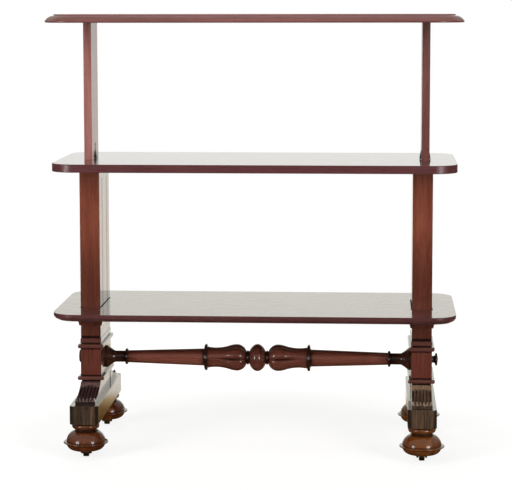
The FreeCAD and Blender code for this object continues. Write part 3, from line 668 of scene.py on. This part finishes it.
# The cut corners are painted nearly black, as painted shade.
CANT_SHADE_TONES = ((0.012, 0.009, 0.006), (0.024, 0.017, 0.011), (0.045, 0.030, 0.019))
END_GRAIN = {"across": 70.0, "along": 4.0}
SLED_EASE = 0.0012
END_SLOPE = 0.85
CANT_SLOPE = 0.45

rail_wood = mahogany("sled_mahogany", "y", SLED_TONES)
rail_end_wood = mahogany("sled_end_mahogany", "z", SLED_END_TONES, **END_GRAIN)
rail_cant_shade_wood = mahogany("sled_cant_shaded_mahogany", "z", CANT_SHADE_TONES, **END_GRAIN)
for side in SIDES:
    sled = eased(side + "_sled", (rail_wood, rail_end_wood, rail_cant_shade_wood), SLED_EASE)
    for face in sled.data.polygons:
        facing_end = abs(face.normal.y)
        face.material_index = 1 if facing_end > END_SLOPE else 2 if facing_end > CANT_SLOPE else 0
print("sled", len(sled.data.polygons), "faces")

# %% [markdown]
# ## Turned pieces
#
# The bun feet, the bosses and the stretcher came off a lathe: one outline, turned about an axis. A Geometry
# Nodes tree does the same. The outline is a line of points, radius and height, and the tree sweeps it round a
# small circle. A Screw modifier could turn it too, but the tree has its facets and its wood as inputs, so it
# serves every turning. Darkening in rings and hollows, partly dirt and partly painted shade, is kept as an
# attribute of the points.

# %% Outlines
def arc(start, through, end, steps=14):
    """Points of the circle through three places, without the first one."""
    first, middle, last = np.array(start), np.array(through), np.array(end)
    ab, ac = middle - first, last - first
    twice_area = 2.0 * (ab[0] * ac[1] - ab[1] * ac[0])
    across = ac[1] * (ab @ ab) - ab[1] * (ac @ ac)
    upward = ab[0] * (ac @ ac) - ac[0] * (ab @ ab)
    centre = first + np.array((across, upward)) / twice_area
    angles = [math.atan2(*(point - centre)[::-1]) for point in (first, middle, last)]
    turn = (angles[2] - angles[0]) % math.tau
    if (angles[1] - angles[0]) % math.tau > turn:
        turn -= math.tau
    radius = np.linalg.norm(first - centre)
    swept = angles[0] + turn * np.linspace(0.0, 1.0, steps + 1)[1:]
    return [(centre[0] + radius * math.cos(a), centre[1] + radius * math.sin(a)) for a in swept]


def straight(start, end, steps):
    """Even points of a straight line, without the first one."""
    across, upward = end[0] - start[0], end[1] - start[1]
    shares = np.linspace(0.0, 1.0, steps + 1)[1:]
    return [(start[0] + across * share, start[1] + upward * share) for share in shares]


def in_metres(points):
    return [(radius / 1000.0, height / 1000.0) for radius, height in points]


# %% Helpers for geometry trees
def geometry_tree(name, *inputs):
    tree = bpy.data.node_groups.new(name, "GeometryNodeTree")
    tree.interface.new_socket("Geometry", in_out="INPUT", socket_type="NodeSocketGeometry")
    for label, kind in inputs:
        tree.interface.new_socket(label, in_out="INPUT", socket_type=kind)
    tree.interface.new_socket("Geometry", in_out="OUTPUT", socket_type="NodeSocketGeometry")
    return tree, tree.nodes.new("NodeGroupInput").outputs


def end_tree(tree, geometry, material):
    real = add(tree, "GeometryNodeRealizeInstances", Geometry=geometry).outputs[0]
    painted = add(tree, "GeometryNodeSetMaterial", Geometry=real, Material=material).outputs[0]
    tree.links.new(painted, tree.nodes.new("NodeGroupOutput").inputs[0])


def run_tree(piece, tree, values):
    modifier = piece.modifiers.new(tree.name, "NODES")
    modifier.node_group = tree
    for item in tree.interface.items_tree:
        if item.in_out == "INPUT" and item.name in values:
            modifier[item.identifier] = values[item.name]
    bake_modifiers(piece)


def line_object(name, *lines):
    points, edges = [], []
    for line in lines:
        edges += [(len(points) + i, len(points) + i + 1) for i in range(len(line) - 1)]
        points += line
    mesh = bpy.data.meshes.new(name)
    mesh.from_pydata(points, edges, [])
    piece = bpy.data.objects.new(name, mesh)
    scene.collection.objects.link(piece)
    return piece


# %% Tree that turns an outline
AXIS_CIRCLE = 0.001

lathe, lathe_in = geometry_tree("lathe", ("Facets", "NodeSocketInt"), ("Wood", "NodeSocketMaterial"))
outline = add(lathe, "GeometryNodeMeshToCurve", Mesh=lathe_in["Geometry"]).outputs[0]
circle = add(lathe, "GeometryNodeCurvePrimitiveCircle", Resolution=lathe_in["Facets"],
             Radius=AXIS_CIRCLE).outputs[0]
swept = add(lathe, "GeometryNodeCurveToMesh", Curve=circle, Profile_Curve=outline).outputs[0]
closed = add(lathe, "GeometryNodeMergeByDistance", Geometry=swept, Distance=SAME_POINT).outputs[0]
end_tree(lathe, closed, lathe_in["Wood"])


def face_outwards(mesh):
    shell = bmesh.new()
    shell.from_mesh(mesh)
    bmesh.ops.remove_doubles(shell, verts=shell.verts, dist=SAME_POINT)
    bmesh.ops.recalc_face_normals(shell, faces=shell.faces)
    shell.to_mesh(mesh)
    shell.free()


def turned(name, profile, finish, facets=96):
    """A turning on the Z axis, from a list of (radius, height)."""
    piece = line_object(name, [(radius - AXIS_CIRCLE, -height, 0.0) for radius, height in profile])
    run_tree(piece, lathe, {"Facets": facets, "Wood": finish})
    face_outwards(piece.data)
    return piece


print("lathe nodes", len(lathe.nodes))

# %% Shading, and dirt and painted shade in the rings
def shade(mesh, angle=38.0):
    mesh.shade_smooth()
    mesh.set_sharp_from_angle(angle=math.radians(angle))


def ease_between(value, low, high):
    share = np.clip((value - low) / (high - low), 0.0, 1.0)
    return share * share * (3.0 - 2.0 * share)


def darken(mesh, axis, bands, edge=0.7):
    """Keeps how dark each point is, from bands of (start, end, share) along an axis, in millimetres."""
    along = np.array([abs(vertex.co[axis]) for vertex in mesh.vertices]) * 1000.0
    dark = np.zeros(len(along))
    kept = mesh.attributes.get("hollow") or mesh.attributes.new("hollow", "FLOAT", "POINT")
    kept.data.foreach_get("value", dark)
    for start, end, share in bands:
        inside = ease_between(along, start - edge, start) * (1.0 - ease_between(along, end, end + edge))
        dark = np.maximum(dark, share * inside)
    kept.data.foreach_set("value", dark)


# %% [markdown]
# ## Bun feet and bosses
#
# A bun foot is a flattened ball with a fine flange round its middle. Above it are a thin neck, a rounded ring
# and a tenon that goes up into the sled, and below it is hollow for its castor. The right feet are browner
# than the left ones. A boss is the small turned knob that covers the end of a bolt outside each pedestal. On
# the lathe below, each is one outline in millimetres, radius first, so a curve stays easy to change.

# %% Bun feet
ENDS = ("front", "back")
FOOT_TONES = {
    "left": ((0.050, 0.010, 0.003), (0.089, 0.020, 0.005), (0.142, 0.040, 0.010)),
    "right": ((0.067, 0.017, 0.003), (0.124, 0.035, 0.006), (0.193, 0.064, 0.012)),
}
FOOT_FINISH = {"across": 55.0, "along": 9.0, "hollows": (1.0, 0.15), "polish": 0.13}
BUN_PROFILE = [(0, 46), (25, 46), (25, 20), (28.5, 20)]
BUN_PROFILE += arc((28.5, 20), (44.4, 25.3), (50.2, 36.8)) + [(50.2, 38.0), (56, 38.3)]
BUN_PROFILE += arc((56, 38.3), (57.7, 40), (56, 41.7), 8) + [(50.2, 42.2), (50.2, 43.4)]
BUN_PROFILE += arc((50.2, 43.4), (44.0, 59.6), (29, 70.4)) + [(29, 71.4), (27.2, 71.8), (27.2, 75.4)]
BUN_PROFILE += arc((27.2, 75.4), (35.4, 83.2), (27.8, 90.9)) + [(12.5, 90.9), (12.5, 115.9), (0, 115.9)]
# Darker bands on a bun foot, at the neck, beside the flange and at the top of the ring: partly dirt, partly
# painted shade.
BUN_DARK = ((69.4, 77.0, 0.85), (35.6, 38.4, 0.7), (41.8, 43.6, 0.5), (88.5, 91.0, 0.8))

for side in SIDES:
    foot_wood = mahogany(side + "_foot_mahogany", "z", FOOT_TONES[side], **FOOT_FINISH)
    for end in ENDS:
        node = side + "_" + end + "_bun_foot"
        low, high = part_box(node)
        foot = turned(node + "_turned", in_metres(BUN_PROFILE), foot_wood)
        foot.data.transform(Matrix.Translation(((low.x + high.x) / 2, (low.y + high.y) / 2, 0.0)))
        darken(foot.data, 2, BUN_DARK)
        shade(foot.data)
        keep(foot, "trestle", foot_wood, node)
print("bun foot height", round(max(v.co.z for v in foot.data.vertices), 4))

# %% Bosses outside the pedestals
SMALL_FACETS = 64
BOSS_TONES = ((0.010, 0.007, 0.006), (0.020, 0.013, 0.010), (0.034, 0.021, 0.016))
BOSS_PROFILE = [(0, 0), (12.8, 0)] + arc((12.8, 0), (9.0, 5.4), (12.8, 10.8))
BOSS_PROFILE += arc((12.8, 10.8), (17, 13.4), (15.5, 16.2)) + [(13.0, 16.6), (12.4, 16.2)]
BOSS_PROFILE += arc((12.4, 16.2), (7.5, 17.7), (0, 18.0))

boss_wood = mahogany("boss_mahogany", "x", BOSS_TONES)
for side, towards in zip(SIDES, (-1.0, 1.0)):
    low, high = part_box(side + "_boss")
    seat = high.x if side == "left" else low.x
    boss = turned(side + "_boss_turned", in_metres(BOSS_PROFILE), boss_wood, SMALL_FACETS)
    boss.data.transform(Matrix.Rotation(towards * math.pi / 2, 4, "Y"))
    boss.data.transform(Matrix.Translation((seat, 0.0, (low.z + high.z) / 2)))
    shade(boss.data)
    keep(boss, "trestle", boss_wood, side + "_boss")
print("boss", len(boss.data.polygons), "faces")

# %% [markdown]
# ## The stretcher
#
# The stretcher is drawn from the knop in the middle to one end, and mirrored. Its two vases are carved into
# six lobes, like closed lotus flowers: the grooves are deep where the vase is fullest and die away towards
# the ring at its far end. They could be sculpted, but they follow a rule, so a second tree scales each point
# towards the axis by how far it lies down in a groove. The grooves and the rings are darker, partly old
# polish and partly painted shade. The upper side, under the lower tier, carries painted shade, with a little
# on the underside too.

# %% Tree that carves lobes
GROOVE_AT_START = 0.65
GROOVE_SHARPNESS = 2.2
GROOVE_SHADE_SHARPNESS = 0.6

lobes, lobes_in = geometry_tree(
    "lobed_vases", ("Lobes", "NodeSocketFloat"), ("Depth", "NodeSocketFloat"), ("Start", "NodeSocketFloat"),
    ("Fullest", "NodeSocketFloat"), ("End", "NodeSocketFloat"), ("Wood", "NodeSocketMaterial"))
point = add(lobes, "ShaderNodeSeparateXYZ", Vector=add(lobes, "GeometryNodeInputPosition").outputs[0]).outputs
from_middle = maths(lobes, "ABSOLUTE", point["Z"])
swelling = spread(lobes, from_middle, lobes_in["Start"], lobes_in["Fullest"], GROOVE_AT_START, 1.0,
                  smooth=True)
falling = spread(lobes, from_middle, lobes_in["Fullest"], lobes_in["End"], 1.0, 0.0, smooth=True)
begun = maths(lobes, "GREATER_THAN", from_middle, lobes_in["Start"])
strength = maths(lobes, "MULTIPLY", maths(lobes, "MULTIPLY", swelling, falling), begun)
angle = maths(lobes, "ARCTAN2", point["X"], point["Y"])
half_waves = maths(lobes, "MULTIPLY", angle, maths(lobes, "DIVIDE", lobes_in["Lobes"], 2.0))
crest = maths(lobes, "ABSOLUTE", maths(lobes, "SINE", half_waves))
groove = maths(lobes, "POWER", maths(lobes, "SUBTRACT", 1.0, crest), GROOVE_SHARPNESS)
cut = maths(lobes, "MULTIPLY", maths(lobes, "MULTIPLY", groove, strength), lobes_in["Depth"])
inwards = maths(lobes, "SUBTRACT", 1.0, cut)
carved_x = maths(lobes, "MULTIPLY", point["X"], inwards)
carved_y = maths(lobes, "MULTIPLY", point["Y"], inwards)
moved = add(lobes, "ShaderNodeCombineXYZ", X=carved_x, Y=carved_y, Z=point["Z"]).outputs[0]
carved = add(lobes, "GeometryNodeSetPosition", Geometry=lobes_in["Geometry"], Position=moved).outputs[0]
# The grooves are darker, partly old polish and partly painted shade.
groove_dirt_and_shade = maths(lobes, "MULTIPLY", maths(lobes, "POWER", groove, GROOVE_SHADE_SHARPNESS), strength)
stained = add(lobes, "GeometryNodeStoreNamedAttribute", {"data_type": "FLOAT", "domain": "POINT"},
              Geometry=carved, Name="hollow", Value=groove_dirt_and_shade).outputs[0]
end_tree(lobes, stained, lobes_in["Wood"])
print("lobe nodes", len(lobes.nodes))

# %% Outline of the stretcher, and its dirt and painted shade
KNOP_RADIUS = 36.3
HALF_PROFILE = arc((KNOP_RADIUS, 0), (35.8, 4.0), (34.3, 8.0), 8)
HALF_PROFILE += arc((34.3, 8.0), (28.1, 15.4), (17.5, 21.6), 12) + [(16.6, 22.0), (16.6, 23.0)]
HALF_PROFILE += arc((16.6, 23.0), (19.4, 25.6), (16.6, 28.2), 10) + [(16.6, 28.8), (17.4, 29.3)]
HALF_PROFILE += arc((17.4, 29.3), (30.0, 38.4), (35.5, 54.2), 18)
HALF_PROFILE += arc((35.5, 54.2), (34.2, 66.2), (30.8, 78.2), 12)
HALF_PROFILE += arc((30.8, 78.2), (27.3, 95.2), (26.2, 112.2), 14)
HALF_PROFILE += arc((26.2, 112.2), (26.9, 123.0), (28.5, 132.8), 8) + [(28.5, 133.4)]
HALF_PROFILE += arc((28.5, 133.4), (35.4, 136.7), (28.5, 140.0), 10) + [(24.4, 140.4), (24.4, 142.6)]
HALF_PROFILE += [(22.8, 143.4), (22.8, 148.2)] + straight((22.8, 148.2), (16.3, 345.2), 8) + [(16.3, 346.0)]
HALF_PROFILE += arc((16.3, 346.0), (21.6, 349.5), (16.3, 353.0), 8) + [(15.2, 353.6), (15.2, 380.2)]
HALF_PROFILE += arc((15.2, 380.2), (21.0, 389.7), (28.4, 398.8), 14)
HALF_PROFILE += [(29.4, 399.2), (29.4, 405.9), (0, 405.9)]
# Darker bands along the stretcher, in millimetres from its middle: partly old polish in the rings and necks,
# partly painted shade.
STRETCHER_DARK = (
    (-1.0, 132.0, 0.34), (-1.0, 20.5, 0.42), (20.5, 31.5, 0.90), (32.0, 35.0, 0.50), (132.4, 143.2, 0.95),
    (345.6, 354.2, 0.95), (355.0, 378.0, 0.35), (379.0, 406.0, 0.78),
)
UPPER_SIDE = (0.30, 1.0)
LOWER_SIDE = (0.25, 0.80)


def darken_above_and_below(mesh, axis_height, upper, lower):
    """Keeps painted shade on the upper side, and a lighter painted shade on the lower side, of a turning that
    lies along X.
    """
    places = np.array([vertex.co for vertex in mesh.vertices])
    above = places[:, 2] - axis_height
    facing_up = above / np.maximum(np.hypot(places[:, 1], above), SAME_POINT)
    dark = np.zeros(len(places))
    kept = mesh.attributes["hollow"]
    kept.data.foreach_get("value", dark)
    sides = upper * ease_between(facing_up, *UPPER_SIDE) + lower * ease_between(-facing_up, *LOWER_SIDE)
    kept.data.foreach_set("value", np.maximum(dark, sides))


# %% Stretcher
STRETCHER_TONES = ((0.112, 0.030, 0.018), (0.190, 0.054, 0.035), (0.275, 0.094, 0.056))
STRETCHER_FINISH = {"across": 60.0, "hollows": (1.0, 0.08)}
STRETCHER_FACETS = 192
VASE = {"Lobes": 6.0, "Depth": 0.22, "Start": 0.0292, "Fullest": 0.072, "End": 0.127}
# Painted shade: the upper side lies in the shade of the lower tier, and the underside is darkened a little.
UPPER_PAINTED_SHADE = 0.72
LOWER_PAINTED_SHADE = 0.30
ALONG_X = Matrix.Rotation(math.pi / 2, 4, "Y")

rod_wood = mahogany("stretcher_mahogany", "x", STRETCHER_TONES, **STRETCHER_FINISH)
low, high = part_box("stretcher")
axis_height = (low.z + high.z) / 2
other_half = [(radius, -along) for radius, along in reversed(HALF_PROFILE)]
stretcher_profile = other_half + [(KNOP_RADIUS, 0.0)] + HALF_PROFILE
stretcher = turned("stretcher_lobed", in_metres(stretcher_profile), rod_wood, STRETCHER_FACETS)
run_tree(stretcher, lobes, {**VASE, "Wood": rod_wood})
stretcher.data.transform(ALONG_X)
stretcher.data.transform(Matrix.Translation((0.0, 0.0, axis_height)))
darken(stretcher.data, 0, STRETCHER_DARK)
darken_above_and_below(stretcher.data, axis_height, UPPER_PAINTED_SHADE, LOWER_PAINTED_SHADE)
shade(stretcher.data, angle=50.0)
keep(stretcher, "trestle", rod_wood, "stretcher")
print("stretcher", len(stretcher.data.polygons), "faces, from", [round(c, 4) for c in stretcher.bound_box[0]])

# %% [markdown]
# ## Carved leaves
#
# A bracket at the front and back of each pedestal is carved as a leaf that runs down onto the sled: six
# flutes with sharp ridges between them, arched at the top, each ending in a round tip that curls up. It could
# be sculpted by hand, but the pattern is regular, so each point of the bracket's side outline is pushed in or
# out by where it lies across the leaf. Painted shade in the flutes, between and over the tips, at the toe
# under them and at the head under the band is kept as an attribute that darkens the finish.

# %% Side outline of a leaf
LEAF_STEPS = 72
LEAF_UNDERCUT = in_metres([(112.5, 143.3), (110.0, 142.1), (110.0, 139.5), (0.0, 139.5)])


def leaf_outline():
    """Distance out from the pedestal and height above the floor, from the leaf's head down to its toe."""
    head = [(0, 176), (3, 176), (6, 176), (9, 176)]
    hollow = arc((9, 176), (63.5, 154.3), (114.5, 148.5), LEAF_STEPS)
    toe = [(116.5, 147.5), (117.6, 145.7), (117.0, 144.1)]
    return np.array(in_metres(head + hollow + toe))


def normals_and_run(line):
    """Which way is out at each point, and the share of the whole length at which it lies."""
    steps = np.gradient(line, axis=0)
    normal = np.stack([-steps[:, 1], steps[:, 0]], 1)
    normal /= np.linalg.norm(normal, axis=1)[:, None]
    normal *= np.sign(normal[len(line) // 2, 1])
    run = np.concatenate([[0.0], np.cumsum(np.linalg.norm(np.diff(line, axis=0), axis=1))])
    return normal, run / run[-1]


print("leaf outline points", len(leaf_outline()))

# %% Forms of the carving
FLUTES = 6
POINTS_PER_FLUTE = 16
FLUTE_DEPTH = 0.0066
TIP_HEIGHT = 0.0105
TIP_SEAT = 0.4
TIP_ROUNDNESS = 0.6
ROLL_HEIGHT = 0.0024
SIDE_MARGIN = 0.04
# Shares of the way from head to toe, between which a form rises or dies away
ROLL_RISES = (0.02, 0.05)
ROLL_FALLS = (0.06, 0.12)
HEAD_FADES = (0.05, 0.16)
FLUTE_START = 0.10
FLUTE_ARCH = 0.05
FLUTE_FAN = 0.06
FLUTE_RUN_IN = 0.07
FLUTE_FALLS = (0.76, 0.86)
TIP_RISES = (0.78, 0.88)
TIP_FALLS = (0.93, 1.0)
TOE_RISES = (0.97, 1.0)
# How much painted shade each form takes
FLUTE_SHADE_SHARPNESS = 0.7
TOE_SHADOW = 0.8
HEAD_SHADOW = 0.6
TIP_SHADE = 0.45


def leaf_forms(run, across):
    """How far the carving stands out along one outline, and how much painted shade it takes."""
    bow = abs(math.sin(math.pi * FLUTES * across))
    outer = (2.0 * across - 1.0) ** 2
    top = FLUTE_START + FLUTE_ARCH * (1.0 - bow) + FLUTE_FAN * outer
    flute = ease_between(run, top, top + FLUTE_RUN_IN) * (1.0 - ease_between(run, *FLUTE_FALLS))
    tip = ease_between(run, *TIP_RISES) * (1.0 - ease_between(run, *TIP_FALLS))
    roll = ease_between(run, *ROLL_RISES) * (1.0 - ease_between(run, *ROLL_FALLS))
    head = 1.0 - ease_between(run, *HEAD_FADES)
    side = ease_between(min(across, 1.0 - across), 0.0, SIDE_MARGIN)
    rounded = bow ** TIP_ROUNDNESS
    out = roll * ROLL_HEIGHT - flute * FLUTE_DEPTH * bow * side + tip * TIP_HEIGHT * (rounded - TIP_SEAT)
    # How dark a point is painted: shade in the flutes, between and over the tips, at the toe under them and
    # at the head under the band.
    leaf_shade = flute * bow ** FLUTE_SHADE_SHARPNESS + tip * (1.0 - rounded)
    leaf_shade += TOE_SHADOW * ease_between(run, *TOE_RISES) + HEAD_SHADOW * head
    leaf_shade += TIP_SHADE * ease_between(run, *FLUTE_FALLS)
    return out, np.clip(leaf_shade, 0.0, 1.0)


# %% One carved bracket
def carved_leaf(mid_x, width, front_y, towards):
    """Points, faces and painted shade of one bracket: side outlines from left to right, joined in strips."""
    line = leaf_outline()
    normal, run = normals_and_run(line)
    places, leaf_shades = [], []
    rows = FLUTES * POINTS_PER_FLUTE + 1
    for across in np.linspace(0.0, 1.0, rows):
        out, leaf_shade = leaf_forms(run, across)
        loop = np.vstack([line + normal * out[:, None], LEAF_UNDERCUT])
        x = mid_x + (across - 0.5) * width
        places += [(x, front_y + towards * step_out, height) for step_out, height in loop]
        leaf_shades += list(leaf_shade) + [1.0] * len(LEAF_UNDERCUT)
    ring = len(line) + len(LEAF_UNDERCUT)
    faces = []
    for row in range(rows - 1):
        for i in range(ring):
            j = (i + 1) % ring
            faces.append((row * ring + i, row * ring + j, (row + 1) * ring + j, (row + 1) * ring + i))
    faces.append(tuple(range(ring)))
    faces.append(tuple((rows - 1) * ring + i for i in range(ring)))
    return places, faces, leaf_shades


# %% Four carved brackets
CARVED_TONES = {
    "left": ((0.054, 0.029, 0.026), (0.094, 0.051, 0.045), (0.144, 0.078, 0.066)),
    "right": ((0.080, 0.050, 0.033), (0.140, 0.087, 0.055), (0.214, 0.132, 0.081)),
}
# Painted shade in the carving: how the tone is scaled on a ridge and deep in shade.
CARVED_SHADE = {"left": (1.45, 0.34), "right": (1.65, 0.84)}
CARVED_GRAIN = {"across": 60.0, "along": 8.0}
LET_IN = 0.002

for side in SIDES:
    leaf_wood = mahogany(side + "_leaf_mahogany", "z", CARVED_TONES[side], hollows=CARVED_SHADE[side],
                         **CARVED_GRAIN)
    node = side + "_leaves"
    low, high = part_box(node)
    neck_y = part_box(side + "_pedestal")[1].y - LET_IN
    places, faces, leaf_shades = [], [], []
    for towards in (-1.0, 1.0):
        new = carved_leaf((low.x + high.x) / 2, high.x - low.x, towards * neck_y, towards)
        faces += [tuple(index + len(places) for index in face) for face in new[1]]
        places += new[0]
        leaf_shades += new[2]
    mesh = bpy.data.meshes.new(node + "_carved")
    mesh.from_pydata(places, [], faces)
    mesh.attributes.new("hollow", "FLOAT", "POINT").data.foreach_set("value", leaf_shades)
    leaf = bpy.data.objects.new(node + "_carved", mesh)
    scene.collection.objects.link(leaf)
    face_outwards(mesh)
    shade(mesh, angle=48.0)
    keep(leaf, "trestle", leaf_wood, node)
print("leaf faces", len(mesh.polygons))

# %% [markdown]
# ## Castors and catches
#
# The castors are sunk in the bun feet, so little more than the wheels show. A wheel is turned like the feet,
# with a tread that is a little fuller in the middle and a sunk ring on each side. Forks and catches were cast
# and filed, so copies of their solids with eased edges are enough.

# %% Castor wheels, forks and catches
WHEEL_SIDE = [(2.6, 7.2), (5.6, 7.2), (6.2, 6.5), (9.4, 6.5), (10.0, 7.2), (10.9, 7.2)]
WHEEL_TREAD = arc((10.9, 7.2), (12.3, 6.6), (12.9, 5.2), 6) + [(13.0, 0.0)]
FORK_EASE = 0.0005
CATCH_EASE = 0.0004

wheel_half = WHEEL_SIDE + WHEEL_TREAD
wheel_profile = wheel_half + [(radius, -along) for radius, along in reversed(wheel_half[:-1])]
wheel_profile += wheel_half[:1]
for side in SIDES:
    for end in ENDS:
        node = side + "_" + end + "_castor_wheel"
        low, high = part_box(node)
        wheel = turned(node + "_turned", in_metres(wheel_profile), brass, SMALL_FACETS)
        wheel.data.transform(Matrix.Translation((low + high) / 2) @ ALONG_X)
        shade(wheel.data)
        keep(wheel, body_of(node), brass, node)
        eased(side + "_" + end + "_castor_fork", brass, FORK_EASE)
    for face in ("inner", "outer"):
        eased(side + "_" + face + "_catch", steel, CATCH_EASE)
print("wheel", len(wheel.data.polygons), "faces")

# %% [markdown]
# ## Cords inside the standards
#
# Inside each standard two cords go up from the lower tier, over a pulley and down to the foot of the post. A
# cord is laid from three strands. A plain tube could stand for it, but strands cost little, so the tree sets
# three small circles side by side and turns them as they follow the path. The short run to the post grows as
# the post goes down, and the long run to the lower tier shortens at the same time. Here the wraps over the
# pulleys and the runs to the lower tier ride on the trestle, and the runs to the posts stay where they are
# drawn.

# %% Tree that lays a cord
CORD_RADIUS = 0.002
LAY_LENGTH = 0.014
CORD_STEP = 0.0013
STRANDS = 3
STRAND_SIDES = 9
# Radius of a circle round three equal circles that touch, as a multiple of theirs
ROUND_THREE = 1.0 + 2.0 / math.sqrt(3.0)

laid, laid_in = geometry_tree(
    "laid_cord", ("Radius", "NodeSocketFloat"), ("Lay", "NodeSocketFloat"), ("Step", "NodeSocketFloat"),
    ("Fibre", "NodeSocketMaterial"))
path = add(laid, "GeometryNodeMeshToCurve", Mesh=laid_in["Geometry"]).outputs[0]
even = add(laid, "GeometryNodeResampleCurve", {"mode": "LENGTH"}, Curve=path,
           Length=laid_in["Step"]).outputs[0]
gone = add(laid, "GeometryNodeSplineParameter").outputs["Length"]
turn = maths(laid, "MULTIPLY", maths(laid, "DIVIDE", gone, laid_in["Lay"]), math.tau)
twisted = add(laid, "GeometryNodeSetCurveTilt", Curve=even, Tilt=turn).outputs[0]
strand_radius = maths(laid, "DIVIDE", laid_in["Radius"], ROUND_THREE)
strand = add(laid, "GeometryNodeCurvePrimitiveCircle", Resolution=STRAND_SIDES,
             Radius=strand_radius).outputs[0]
middle_radius = maths(laid, "SUBTRACT", laid_in["Radius"], strand_radius)
middles = add(laid, "GeometryNodeMeshCircle", Vertices=STRANDS, Radius=middle_radius).outputs[0]
three = add(laid, "GeometryNodeInstanceOnPoints", Points=middles, Instance=strand).outputs[0]
section = add(laid, "GeometryNodeRealizeInstances", Geometry=three).outputs[0]
cord_mesh = add(laid, "GeometryNodeCurveToMesh", Curve=twisted, Profile_Curve=section,
                Fill_Caps=True).outputs[0]
end_tree(laid, cord_mesh, laid_in["Fibre"])


def laid_cord(node, *lines):
    piece = line_object(node + "_laid", *lines)
    run_tree(piece, laid, {"Radius": CORD_RADIUS, "Lay": LAY_LENGTH, "Step": CORD_STEP, "Fibre": cotton})
    face_outwards(piece.data)
    shade(piece.data, angle=60.0)
    piece.data.materials.clear()
    piece.data.materials.append(cotton)
    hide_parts(node)
    return piece


print("cord nodes", len(laid.nodes))

# %% Where the cords run
WRAP_STEPS = 24

carrier_low, carrier_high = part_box("carrier_cords")
post_low, post_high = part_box("post_cords")
cord_x = carrier_high.x - CORD_RADIUS
carrier_y = carrier_high.y - CORD_RADIUS
post_y = post_high.y - CORD_RADIUS
pulley_y = (carrier_y + post_y) / 2
pulley_top = carrier_high.z + carrier_y - pulley_y
over = [(carrier_y, carrier_high.z)]
over += arc((carrier_y, carrier_high.z), (pulley_y, pulley_top), (post_y, carrier_high.z), WRAP_STEPS)
corners = [(x, y) for x in (-1.0, 1.0) for y in (-1.0, 1.0)]


def four_runs(points):
    """The same run in each of the four places: left and right, back and front."""
    return [[(x * cord_x, y * across, height) for across, height in points] for x, y in corners]


print("cord runs", round(post_high.z - post_low.z, 4), round(carrier_high.z - carrier_low.z, 4))

# %% Three groups of cord runs
down_to_carrier = four_runs([(carrier_y, carrier_low.z), (carrier_y, carrier_high.z)])
down_to_post = four_runs([(post_y, post_low.z), (post_y, post_high.z)])
carrier_run = laid_cord("carrier_cords", *down_to_carrier)
post_run = laid_cord("post_cords", *down_to_post)
wrap_run = laid_cord("cord_wraps", *four_runs(over))
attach(wrap_run, "trestle")
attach(carrier_run, "trestle")
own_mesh(carrier_run)
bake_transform(post_run)

# %% [markdown]
# ## The rest of the frame
#
# Screws, pins, plates, pulleys, shoes, carriers, bolts and dowels are small or out of sight, so their solids
# are good enough as they are. Each only needs a real finish. A word in its name says which, and where two
# words fit, as in the screws of a castor, the later one in the list decides.

# %% Plain finishes
PLAIN_FINISHES = {"catch": steel, "screws": steel, "castor": brass, "pulley": brass, "shoes": iron,
                  "carriers": iron, "bolts": iron, "dowels": beech}

plain_nodes = [node for node, piece in frame["nodes"].items() if not piece.hide_render]
for node in plain_nodes:
    finishes = [finish for word, finish in PLAIN_FINISHES.items() if word in node]
    frame["nodes"][node].data.materials.clear()
    frame["nodes"][node].data.materials.append(finishes[-1])
print("nodes with plain finishes", len(plain_nodes))
